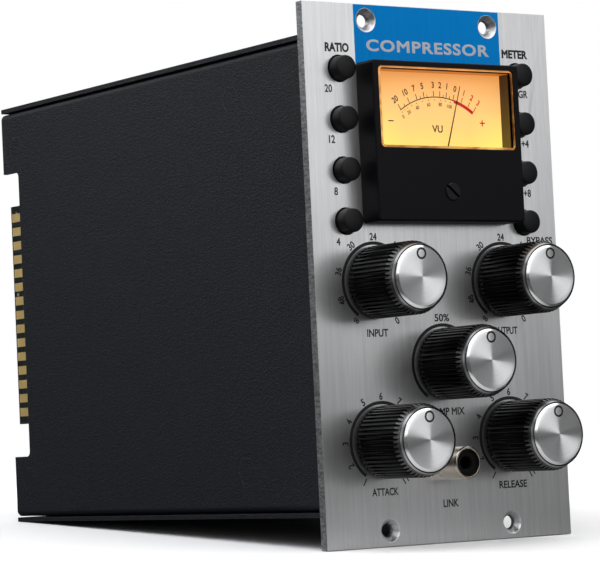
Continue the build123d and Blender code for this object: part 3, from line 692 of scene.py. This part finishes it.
def close_up(bm, gap=0.0005):
    """Merge points that fall together, then turn the faces outwards."""
    bmesh.ops.remove_doubles(bm, verts=bm.verts, dist=gap)
    bmesh.ops.recalc_face_normals(bm, faces=bm.faces)
    return bm


def turn(profile, steps=96):
    """Spin a half section, given as (radius, y) points, about the Y axis."""
    bm = bmesh.new()
    points = [bm.verts.new((r, y, 0.0)) for r, y in profile]
    lines = [bm.edges.new(pair) for pair in zip(points, points[1:])]
    bmesh.ops.spin(
        bm, geom=points + lines, cent=(0, 0, 0), axis=(0, 1, 0), angle=2 * pi, steps=steps, use_merge=True,
    )
    return close_up(bm)


def polar_uv(bm):
    """UV map with the distance from the Y axis as U and the angle as V."""
    layer = bm.loops.layers.uv.new("turning")
    for face in bm.faces:
        middle = face.calc_center_median()
        home = Vector((middle.x, middle.z)).angle_signed(Vector((1.0, 0.0)), 0.0)
        for loop in face.loops:
            spot = Vector((loop.vert.co.x, loop.vert.co.z))
            angle = spot.angle_signed(Vector((1.0, 0.0)), home) if spot.length > 1e-4 else home
            angle += 2 * pi * round((home - angle) / (2 * pi))
            along = spot.length + abs(loop.vert.co.y - middle.y) * 0.2
            loop[layer].uv = (along * 0.1, angle)
    return bm


def clean_copy(node):
    """A CAD node's mesh with its triangles merged into whole faces."""
    bm = bmesh.new()
    bm.from_mesh(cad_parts[node].data)
    bmesh.ops.remove_doubles(bm, verts=bm.verts, dist=2e-6)
    bmesh.ops.dissolve_limit(bm, angle_limit=radians(0.5), verts=bm.verts, edges=bm.edges)
    return bm


def flow_uv(bm):
    """UV map laid flat on each face, with V upwards, or to the rear on level faces."""
    layer = bm.loops.layers.uv.new("flow")
    for face in bm.faces:
        across, along = 0, 1
        if abs(face.normal.y) > 0.6:
            across, along = 0, 2
        elif abs(face.normal.x) > 0.6:
            across, along = 1, 2
        for loop in face.loops:
            loop[layer].uv = (loop.vert.co[across] * 10, loop.vert.co[along] * 10)
    return bm


def dressed(node, material, edge, body="module", shape=None):
    """A CAD node's clean copy, or a given shape, with its sharp edges eased by a small round."""
    bm = shape or clean_copy(node)
    piece = make_piece(node + "_dressed", bm, material, body, (node,), 180.0)
    ease_edges(piece, edge)


def ease_edges(piece, edge):
    """Round the sharp edges, by a width in millimetres, and keep the flat faces flat."""
    ease = piece.modifiers.new("eased_edges", "BEVEL")
    ease.width = edge * MM
    ease.segments = 2
    ease.limit_method = "ANGLE"
    ease.angle_limit = radians(38.0)
    weighted = piece.modifiers.new("flat_faces", "WEIGHTED_NORMAL")
    weighted.weight = 80
    weighted.keep_sharp = True


# ---- knobs ---------------------------------------------------------------------------
def envelope_y(radius):
    """Where the bevel of the knob's nose has a given radius."""
    return KNOB_FACE_Y + NOSE_BEVEL * (radius - NOSE_R) / (SHOULDER_R - NOSE_R)


def flute_radius(share):
    """Radius of the fluted outline across one flute, from -1 to 1."""
    return FLUTE_RIDGE_R - FLUTE_DEPTH * sqrt(max(0.0, 1.0 - share * share))


def knob_section(shoulder):
    """Half section of the knob, from the cap's recess round the outside to the shaft's bore."""
    crease = envelope_y(shoulder)
    skirt_r, skirt_y = KNOB_SKIRT
    bore_r, bore_y = KNOB_BORE
    outside = SATIN_R + 0.02
    return (
        (0.0, KNOB_FACE_Y + 0.45), (7.68, KNOB_FACE_Y + 0.45), (7.7, KNOB_FACE_Y + 0.06), (7.76, KNOB_FACE_Y),
        (NOSE_R - 0.05, KNOB_FACE_Y), (NOSE_R + 0.02, KNOB_FACE_Y + 0.07), (SATIN_R, envelope_y(SATIN_R)),
        (max(outside, shoulder - 0.03), max(envelope_y(outside), crease - 0.07)),
        (max(outside + 0.01, shoulder), crease + 0.06), (shoulder, KNOB_BASE_Y - 0.4),
        (shoulder - 0.3, KNOB_BASE_Y), (skirt_r, KNOB_BASE_Y), (skirt_r, skirt_y), (bore_r, skirt_y),
        (bore_r, bore_y), (0.0, bore_y),
    )


def flute_strip(step):
    """One flute and its land, as a grid bent to the knob's section."""
    land = step * LAND_SHARE
    last_row = len(knob_section(LAND_RADIUS)) - 1
    last_column = len(FLUTE_STATIONS)
    bm = bmesh.new()
    bmesh.ops.create_grid(bm, x_segments=last_column, y_segments=last_row, size=1.0)
    for vert in bm.verts:
        column = round((vert.co.x + 1) / 2 * last_column)
        row = round((vert.co.y + 1) / 2 * last_row)
        share, angle = 1.0, step
        if column < last_column:
            share = FLUTE_STATIONS[column]
            angle = (share + 1) / 2 * (step - land)
        radius, y = knob_section(min(flute_radius(share), LAND_RADIUS))[row]
        vert.co = (radius * sin(angle), y, radius * cos(angle))
    return bm


def fluted_body():
    """The strip repeated round the axis, with metal where the nose is cut to a bevel."""
    step = 2 * pi / FLUTES
    bm = flute_strip(step)
    bmesh.ops.spin(
        bm, geom=bm.verts[:] + bm.edges[:] + bm.faces[:], cent=(0, 0, 0), axis=(0, 1, 0),
        angle=2 * pi - step, steps=FLUTES - 1, use_duplicate=True,
    )
    close_up(bm, 0.002)
    for face in bm.faces:
        middle = face.calc_center_median()
        outward = Vector((middle.x, 0.0, middle.z)).normalized().dot(face.normal)
        sloped = 0.3 < outward < 0.985 and -0.7 < face.normal.y < -0.2
        near_cap = middle.y < envelope_y(SATIN_R)
        # Index 2, the teeth away from the cap, takes the darker copy of the satin metal, which is painted
        # shade.
        face.material_index = (1 if near_cap else 2) if sloped and middle.y < envelope_y(LAND_RADIUS) else 0
    return bm


def cap_disc():
    """Aluminium cap with a face-turned front and a polished chamfer."""
    front = CAP_FACE_Y
    face_rings = [(radius, front) for radius in (0.0, 0.5, 2.0, 4.0, 6.0, 6.98)]
    chamfer = [(7.04, front + 0.02), (7.60, front + 0.46), (7.69, front + 0.58)]
    bm = turn(face_rings + chamfer + [(7.69, front + 0.95), (0.0, front + 0.95)], 128)
    for face in bm.faces:
        face.material_index = 1 if face.calc_center_median().y > front + 0.015 else 0
    return polar_uv(bm)


def ring_inlay():
    """Round outline that marks the pointer on the cap."""
    inner, outer = POINTER_R - POINTER_HALF_LINE, POINTER_R + POINTER_HALF_LINE
    front, rear = CAP_FACE_Y - 0.02, CAP_FACE_Y + 0.1
    bm = turn([(inner, front), (outer, front), (outer, rear), (inner, rear), (inner, front)], 48)
    bmesh.ops.translate(bm, verts=bm.verts, vec=(0, 0, POINTER_OUT))
    return bm


def make_knobs():
    for name, (x, z) in KNOBS.items():
        body = name + "_control"
        sleeve = ("knob_black", "satin_shoulder", "teeth_painted_shade")
        make_piece(name + "_knob_body", in_mm(fluted_body(), x, 0, z), sleeve, body,
                   (name + "_knob",), 28.0)
        make_piece(name + "_knob_disc", in_mm(cap_disc(), x, 0, z), ("knob_aluminium", "cut_edge"), body,
                   (name + "_knob_cap",))
        make_piece(name + "_knob_pointer", in_mm(ring_inlay(), x, 0, z), "ink_black", body, sharpest=32.0)


# ---- buttons -------------------------------------------------------------------------
def button_cap():
    """Slightly domed round cap on its stem."""
    face = BUTTON_FACE_Y
    return turn([
        (0.0, face - 0.22), (0.9, face - 0.2), (1.7, face - 0.13), (2.3, face - 0.04), (2.57, face + 0.02),
        (2.76, face + 0.1), (2.88, face + 0.24), (2.92, face + 0.42), (3.0, -4.0), (3.08, PANEL_FRONT),
        (3.08, 1.0), (1.5, 1.0), (1.5, 6.0), (0.0, 6.0),
    ], 64)


def make_buttons():
    for side, names in ((-BUTTON_X, RATIO_BUTTONS), (BUTTON_X, METER_BUTTONS)):
        for row, name in enumerate(names):
            z = BUTTON_TOP_Z - row * BUTTON_PITCH
            make_piece(name + "_cap", in_mm(button_cap(), side, 0, z), "button_black", name + "_press",
                       (name + "_button",), sharpest=40.0)


# ---- print ---------------------------------------------------------------------------
def lettering(text, x, z, height, width=None, turned=0.0, weight=0.024, anchor=0.5, spacing=1.0):
    """Text as a thin flat mesh, in millimetres, its cap height and width given, facing -Y."""
    curve = bpy.data.curves.new("lettering", "FONT")
    curve.body = text
    curve.extrude = 0.01
    curve.bevel_depth = weight
    curve.bevel_resolution = 0
    curve.space_character = spacing
    curve.resolution_u = 4
    holder = bpy.data.objects.new("lettering", curve)
    bpy.context.scene.collection.objects.link(holder)
    bpy.context.view_layer.update()
    mesh = bpy.data.meshes.new_from_object(holder.evaluated_get(bpy.context.evaluated_depsgraph_get()))
    bpy.data.objects.remove(holder)
    bpy.data.curves.remove(curve)
    bm = bmesh.new()
    bm.from_mesh(mesh)
    bpy.data.meshes.remove(mesh)
    xs = [v.co.x for v in bm.verts]
    ys = [v.co.y for v in bm.verts]
    tall = height / (max(ys) - min(ys))
    wide = width / (max(xs) - min(xs)) if width else tall * 0.86
    middle = Matrix.Translation((-min(xs) - anchor * (max(xs) - min(xs)), -(min(ys) + max(ys)) / 2, 0))
    sized = Matrix.Diagonal((wide, tall, PRINT_PROUD / (0.02 + 2 * weight), 1.0))
    upright = Matrix.Rotation(pi / 2, 4, "X")
    spun = Matrix.Rotation(radians(turned), 4, "Y")
    place = Matrix.Translation((x, 0, z)) @ spun @ upright @ sized @ middle
    bmesh.ops.transform(bm, matrix=place, verts=bm.verts)
    bmesh.ops.remove_doubles(bm, verts=bm.verts, dist=0.0008)
    bmesh.ops.recalc_face_normals(bm, faces=bm.faces)
    return bm


def bar(x, z, wide, tall, turned=0.0):
    """A flat printed stroke centred on a point."""
    bm = bmesh.new()
    bmesh.ops.create_cube(bm, size=1.0)
    place = Matrix.Translation((x, 0, z)) @ Matrix.Rotation(radians(turned), 4, "Y")
    bmesh.ops.transform(bm, matrix=place @ Matrix.Diagonal((wide, PRINT_PROUD, tall, 1.0)), verts=bm.verts)
    return bm


def arc(x, z, radius, line, start, end, steps=72):
    """A printed arc, by clock angles from straight up, as a thin closed strip."""
    bm = bmesh.new()
    half = line / 2
    deep = PRINT_PROUD / 2
    corners = [(radius - half, -deep), (radius + half, -deep), (radius + half, deep), (radius - half, deep)]
    ring = [bm.verts.new((r * sin(radians(start)), y, r * cos(radians(start)))) for r, y in corners]
    face = bm.faces.new(ring)
    geom = ring + list(face.edges) + [face]
    bmesh.ops.spin(bm, geom=geom, cent=(0, 0, 0), axis=(0, 1, 0), angle=radians(end - start), steps=steps)
    bmesh.ops.recalc_face_normals(bm, faces=bm.faces)
    bmesh.ops.translate(bm, verts=bm.verts, vec=(x, 0, z))
    return bm


def gather(parts):
    """Several bmeshes as one."""
    whole = bmesh.new()
    for part in parts:
        mesh = bpy.data.meshes.new("part")
        part.to_mesh(mesh)
        part.free()
        whole.from_mesh(mesh)
        bpy.data.meshes.remove(mesh)
    return whole


def around(labels, x, z, radius, height, weight=0.026):
    """Numbers round a centre, each turned with its top outwards."""
    made = []
    for text, angle in labels:
        spot = (x + radius * sin(radians(angle)), z + radius * cos(radians(angle)))
        tall = height * 0.55 if text == "∞" else height
        made.append(lettering(text, spot[0], spot[1], tall, None, angle, weight))
    return made


def lay_on(name, parts, material, y, x=0.0):
    """Gather marks or sheets made about Y = 0 and lay them at a given depth."""
    make_piece(name, in_mm(gather(parts), x, y), material, "module")


GAIN_MARKS = (
    ("∞", -146), ("48", -113), ("36", -76), ("30", -37), ("24", 0), ("18", 37), ("12", 76), ("6", 113),
    ("0", 147),
)
TIME_MARKS = (
    ("1", -148), ("2", -119), ("3", -90), ("4", -62), ("5", -29), ("6", 0), ("7", 29.5), ("8", 60), ("9", 90),
    ("10", 119), ("11", 146),
)
SCALES = {"input": GAIN_MARKS, "output": GAIN_MARKS, "attack": TIME_MARKS, "release": TIME_MARKS}


def panel_legend():
    """Names of the controls, the scales round the knobs and the arcs under them."""
    parts = [
        lettering("RATIO", -28.2, 55.6, 2.3, 7.2, weight=0.045),
        lettering("METER", 27.6, 56.0, 2.2, 8.4, weight=0.045),
        lettering("20", -31.3, 45.4, 1.95), lettering("12", -30.95, 32.95, 1.95),
        lettering("8", -30.45, 20.2, 1.95), lettering("4", -30.5, 7.9, 1.95),
        lettering("GR", 29.7, 45.8, 1.95), lettering("+4", 29.6, 33.1, 1.95),
        lettering("+8", 29.5, 20.4, 1.95), lettering("BYPASS", 32.7, 8.3, 1.9, 8.4),
        lettering("INPUT", -20, -14.5, 1.9, 6.4), lettering("OUTPUT", 20, -14.5, 1.9, 7.8),
        lettering("50%", 0, -11.0, 1.9, 4.6), lettering("COMP MIX", 0, -34.3, 1.9, 11.4),
        lettering("ATTACK", -20, -53.3, 1.9, 8.0), lettering("RELEASE", 20, -53.2, 1.9, 8.9),
        lettering("LINK", 0, -57.0, 1.9, 4.8),
    ]
    for name, marks in SCALES.items():
        parts += around(marks, *KNOBS[name], 11.25, 1.85)
    parts += [arc(x, z, 9.68, 0.82, -145, 145) for x, z in KNOBS.values()]
    lay_on("panel_legend", parts, "ink_black", PANEL_FRONT - PRINT_PROUD / 2)


def nameplate():
    """Blue field at the top of the panel, cut away round the two screw holes."""
    low, high, half = 51.9, 66.52, 22.75
    left = plate_part(-half, 0.0, -RACK_HOLE_X, low, high)
    right = plate_part(0.0, half, RACK_HOLE_X, low, high)
    field = close_up(gather([left, right]), 0.002)
    lay_on("nameplate", [field], "plate_blue", PANEL_FRONT - PRINT_PROUD / 2)
    word = lettering("COMPRESSOR", 0, 56.5, 3.0, 38.5, weight=0.03, spacing=1.12)
    lay_on("nameplate_word", [word], "ink_silver", PANEL_FRONT - PRINT_PROUD * 1.5)


def plate_part(x0, x1, hole_x, z0, z1):
    """Half of the blue field, filled between its outline and one round hole."""
    bm = bmesh.new()
    hole = bmesh.ops.create_circle(bm, cap_ends=False, radius=RACK_HOLE_RIM, segments=48)["verts"]
    place = Matrix.Translation((hole_x, 0, RACK_HOLE_Z)) @ Matrix.Rotation(pi / 2, 4, "X")
    bmesh.ops.transform(bm, matrix=place, verts=hole)
    inner = bm.edges[:]
    corners = [bm.verts.new((x, 0, z)) for x, z in ((x0, z0), (x1, z0), (x1, z1), (x0, z1))]
    outer = [bm.edges.new((corners[i], corners[(i + 1) % 4])) for i in range(4)]
    bmesh.ops.triangle_fill(bm, use_beauty=True, edges=inner + outer, normal=(0, -1, 0))
    bmesh.ops.recalc_face_normals(bm, faces=bm.faces)
    bmesh.ops.solidify(bm, geom=bm.faces[:], thickness=PRINT_PROUD)
    bmesh.ops.recalc_face_normals(bm, faces=bm.faces)
    return bm


# ---- meter ---------------------------------------------------------------------------
def on_dial(radius, angle):
    """Point on the dial at a radius and a clock angle from the needle's pivot."""
    return radius * sin(radians(angle)), PIVOT_Z + radius * cos(radians(angle))


def dial_print():
    """Scale, numbers and needle-swing arc printed on the dial."""
    black = [arc(0, PIVOT_Z, 19.7, 0.25, -35.2, 16.3, 60)]
    red = [arc(0, PIVOT_Z, 19.55, 0.82, 16.3, 35.5, 30)]
    for text, angle in (("20", -34.4), ("10", -25.1), ("7", -17.7), ("5", -11.0), ("3", -2.3), ("2", 3.3),
                        ("1", 8.9), ("0", 15.4)):
        black.append(lettering(text, *on_dial(22.75, angle), 1.6, None, angle, 0.022))
        black.append(bar(*on_dial(20.55, angle), 0.2, 1.35, angle))
    for text, angle in (("1", 22.8), ("2", 29.5), ("3", 35.4)):
        red.append(lettering(text, *on_dial(22.75, angle), 1.55, None, angle, 0.024))
        red.append(bar(*on_dial(20.75, angle), 0.22, 1.4, angle))
    for angle in (-30.0, -14.4, -8.2, 6.2, 12.0):
        black.append(bar(*on_dial(20.15, angle), 0.16, 0.65, angle))
    for text, angle in (("0", -35.9), ("20", -29.0), ("40", -19.7), ("60", -7.9), ("80", 3.8), ("100", 13.2)):
        black.append(lettering(text, *on_dial(17.9, angle), 0.95, None, angle, 0.015))
    for angle in (-34.6, -31.5, -28.4, -24.2, -19.2, -13.4, -7.4, -1.8, 4.0, 8.8, 13.2):
        black.append(bar(*on_dial(19.0, angle), 0.24, 0.24, angle))
    black.append(lettering("VU", -0.1, 35.9, 1.85, 3.3, weight=0.02))
    black.append(bar(-14.4, 37.6, 1.6, 0.28))
    red.append(bar(14.2, 37.7, 1.6, 0.32))
    red.append(bar(14.2, 37.7, 0.32, 1.6))
    lay_on("dial_scale_black", black, "ink_scale", DIAL_FRONT - PRINT_PROUD / 2, DIAL_PRINT_X)
    lay_on("dial_scale_red", red, "ink_red", DIAL_FRONT - PRINT_PROUD / 2, DIAL_PRINT_X)


def needle():
    """Knife-edge pointer and its hub, at the reading it rests on."""
    tail_half, tip_half, thick = 0.26, 0.12, 0.16
    blade = bmesh.new()
    bmesh.ops.create_grid(blade, x_segments=1, y_segments=12, size=1.0)
    for vert in blade.verts:
        share = (vert.co.y + 1) / 2
        half = tail_half + (tip_half - tail_half) * share
        along = -NEEDLE_TAIL + (NEEDLE_TIP + NEEDLE_TAIL) * share
        vert.co = Vector((half * vert.co.x, NEEDLE_Y, along))
    bmesh.ops.solidify(blade, geom=blade.faces[:], thickness=thick)
    front, rear = NEEDLE_Y - 0.08, NEEDLE_Y + 0.24
    hub = turn([(0.0, front), (1.1, front), (1.25, NEEDLE_Y), (1.25, rear), (0.0, rear)], 32)
    bm = gather([blade, hub])
    bmesh.ops.recalc_face_normals(bm, faces=bm.faces)
    leaning = Matrix.Translation((0, 0, PIVOT_Z)) @ Matrix.Rotation(radians(NEEDLE_LEAN), 4, "Y")
    bmesh.ops.transform(bm, matrix=leaning, verts=bm.verts)
    make_piece("needle_blade", in_mm(bm), "needle_black", "meter_movement", ("meter_needle",))


def window_piece():
    """Acrylic window whose cut edges carry the lamps' light as a painted glow."""
    bm = clean_copy("meter_window")
    for face in bm.faces:
        face.material_index = 0 if abs(face.normal.y) > 0.9 else 1
    make_piece("meter_window_pane", bm, ("clear_window", "lit_edge"), "module",
               ("meter_window",), 20.0)


def wall(x0, x1, z0, z1):
    """One thin sheet of the dial well, from the window back to the dial."""
    front, rear = -7.9, -4.62
    bm = bmesh.new()
    bmesh.ops.create_cube(bm, size=1.0)
    size = Matrix.Diagonal((x1 - x0, rear - front, z1 - z0, 1.0))
    place = Matrix.Translation(((x0 + x1) / 2, (front + rear) / 2, (z0 + z1) / 2))
    bmesh.ops.transform(bm, matrix=place @ size, verts=bm.verts)
    return bm


def lining():
    """Walls of the dial well: painted glow above and below, dark at the sides but for a painted glow near
    their foot.
    """
    half, low, high, sheet = 20.35, 30.9, 49.95, 0.12
    inner, floor, ceiling = half - sheet, low + sheet, high - sheet
    reflectors = [wall(-half, half, ceiling, high), wall(-half, half, low, floor)]
    cheeks = [wall(-half, -inner, floor, ceiling), wall(inner, half, floor, ceiling)]
    # The sheets above and below the dial carry a painted amber glow of the lamps' light.
    lay_on("dial_reflectors", reflectors, "amber_wall", 0.0)
    lay_on("dial_cheeks", cheeks, "cheek_wall", 0.0)


# ---- dressed CAD nodes ---------------------------------------------------------------
def dress_nodes():
    """The CAD nodes that show, as clean copies with eased edges."""
    dressed("front_panel", "brushed_panel", 0.14, shape=flow_uv(clean_copy("front_panel")))
    dressed("chassis_channel", "black_powder_coat", 0.22)
    dressed("side_cover", "black_powder_coat", 0.22)
    dressed("meter_bezel", "meter_black", 0.12)
    dressed("meter_case", "meter_black", 0.15)
    dressed("zero_screw", "button_black", 0.05, body="zero_adjuster")
    dressed("link_jack_shell", "nickel", 0.06)
    dressed("link_jack_insulator", "jack_sleeve", 0.05)
    dressed("cover_screws", "black_screw", 0.05)
    dressed("board_standoffs", "black_powder_coat", 0.1)
    dressed("board_screws", "zinc_steel", 0.1)


PLAIN = {
    "panel_studs": "zinc_steel", "panel_nuts": "zinc_steel", "main_board": "circuit_board",
    "edge_contacts": "gold_contact", "control_board": "circuit_board", "board_socket": "black_nylon",
    "board_header": "gold_contact", "transformer_cores": "core_steel", "transformer_windings": "winding_tape",
    "capacitors": "sleeve", "integrated_circuits": "chip_epoxy", "voltage_regulators": "chip_epoxy",
    "potentiometer_bodies": "zinc_steel", "potentiometer_washers": "nickel", "potentiometer_nuts": "nickel",
    "ratio_switches": "black_nylon", "meter_switches": "black_nylon", "meter_dial": "dial_face",
    "meter_coil": "copper_coil", "meter_magnet": "zinc_steel", "meter_lamps": "lamp_glass",
    "link_jack_contact": "shaded_spring", "link_jack_nut": "nickel",
}
SHAFTS = {name + "_shaft": "nickel" for name in KNOBS}


def finish_plain_nodes():
    """Materials for the CAD nodes that are shown as they are."""
    for node, material in (PLAIN | SHAFTS).items():
        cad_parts[node].data.materials.clear()
        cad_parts[node].data.materials.append(MATERIALS[material])


# ---- studio --------------------------------------------------------------------------
def make_floor():
    """Pale sheet that carries the panel's foot and, a little higher, the rear edge of the chassis."""
    bm = bmesh.new()
    bmesh.ops.create_grid(bm, x_segments=1, y_segments=1, size=6.0)
    for vert in bm.verts:
        vert.co.z = FLOOR_Z * MM + vert.co.y * FLOOR_RISE
    mesh = bpy.data.meshes.new("floor")
    bm.to_mesh(mesh)
    bm.free()
    floor = bpy.data.objects.new("floor", mesh)
    bpy.context.scene.collection.objects.link(floor)
    mesh.materials.append(pale_floor())


def distance(tree, place, x, y):
    """Distance from a point at the panel's foot level."""
    point = (x, y, FLOOR_Z * MM)
    return add(tree, "VectorMath", {0: place, 1: point}, operation="DISTANCE").outputs["Value"]


def pale_floor():
    """Paper that fades to white away from the module, and bounces light only before the panel."""
    material = bpy.data.materials.new("pale_floor")
    material.use_nodes = True
    tree = material.node_tree
    tree.nodes.clear()
    place = add(tree, "TexCoord").outputs["Object"]
    away = distance(tree, place, 0.0, 0.07)
    front = distance(tree, place, -0.015, -0.045)
    path = add(tree, "LightPath").outputs["Is Camera Ray"]
    lit = add(tree, "BsdfDiffuse", {"Color": shade(1.15)})
    bounce = blend(tree, remap(tree, front, 0.035, 0.080), shade(0.66), shade(0.09))
    dim = add(tree, "BsdfDiffuse", {"Color": bounce})
    glow = add(tree, "Emission", {"Color": shade(1.0), "Strength": 1.0})
    near = add(tree, "MixShader", {0: remap(tree, away, 0.17, 0.45), 1: lit.outputs[0], 2: glow.outputs[0]})
    seen = add(tree, "MixShader", {0: path, 1: dim.outputs[0], 2: near.outputs[0]})
    clear = add(tree, "BsdfTransparent")
    back = add(tree, "NewGeometry").outputs["Backfacing"]
    sides = add(tree, "MixShader", {0: back, 1: seen.outputs[0], 2: clear.outputs[0]})
    add(tree, "OutputMaterial", {"Surface": sides.outputs[0]})
    return material


def make_world():
    """Dim room, darker behind the module, that the camera sees as white."""
    world = bpy.data.worlds.new("studio")
    bpy.context.scene.world = world
    world.use_nodes = True
    tree = world.node_tree
    tree.nodes.clear()
    path = add(tree, "LightPath").outputs["Is Camera Ray"]
    direction = add(tree, "TexCoord").outputs["Generated"]
    split = add(tree, "SeparateXYZ", {0: direction}).outputs
    room = blend(tree, remap(tree, split["Z"], -0.3, 0.8), shade(0.10), shade(0.26))
    behind = remap(tree, split["Y"], -0.05, 0.35, 0.0, 0.75)
    room = blend(tree, behind, room, shade(0.02))
    soft = add(tree, "Background", {"Color": room, "Strength": 1.0})
    white = add(tree, "Background", {"Color": shade(1.0), "Strength": 1.0})
    both = add(tree, "MixShader", {0: path, 1: soft.outputs[0], 2: white.outputs[0]})
    add(tree, "OutputWorld", {"Surface": both.outputs[0]})


def aimed(centre, aim, roll):
    """Placement of a lamp or camera that looks at a point, rolled about its line of sight."""
    facing = (Vector(aim) - Vector(centre)).to_track_quat("-Z", "Y").to_matrix().to_4x4()
    return Matrix.Translation(centre) @ facing @ Matrix.Rotation(radians(roll), 4, "Z")


def softbox(name, centre, aim, wide, tall, radiance, roll=0.0):
    """A rectangular light aimed at a point, its strength given as radiance."""
    light = bpy.data.lights.new(name, "AREA")
    light.shape = "RECTANGLE"
    light.size = wide
    light.size_y = tall
    light.energy = radiance * pi * wide * tall
    lamp = bpy.data.objects.new(name, light)
    bpy.context.scene.collection.objects.link(lamp)
    lamp.matrix_world = aimed(centre, aim, roll)
    lamp.visible_camera = False
    return lamp


def make_lights():
    """Large key before the panel, soft overhead, and two fills on the cover's side."""
    softbox("key", (-0.20, -1.30, 0.815), (-0.20, 0.0, 0.815), 2.60, 1.26, 1.14, -8.0)
    softbox("overhead", (0.0, 0.10, 1.30), (0.0, 0.10, 0.0), 2.4, 2.4, 1.35)
    left = softbox("left", (-0.46, 0.50, 0.42), (0.0, 0.07, 0.04), 0.62, 0.34, 2.3)
    left.data.color = (0.92, 0.95, 1.0)
    softbox("side", (-1.10, 0.16, 0.18), (0.0, -0.02, 0.0), 0.5, 0.6, 0.6)


def make_camera():
    """Long lens at the left, a little below the middle of the panel."""
    data = bpy.data.cameras.new("camera")
    data.sensor_width = 36.0
    data.lens = 172.284
    data.clip_start = 0.05
    data.clip_end = 50.0
    camera = bpy.data.objects.new("camera", data)
    bpy.context.scene.collection.objects.link(camera)
    camera.matrix_world = aimed(Vector(CAMERA_PLACE) * MM, Vector(CAMERA_AIM) * MM, CAMERA_ROLL)
    bpy.context.scene.camera = camera


dress_nodes()
finish_plain_nodes()
make_knobs()
make_buttons()
panel_legend()
nameplate()
dial_print()
needle()
window_piece()
lining()
make_floor()
make_world()
make_lights()
make_camera()
bpy.context.scene.view_settings.view_transform = "Standard"
bpy.context.scene.view_settings.look = "None"
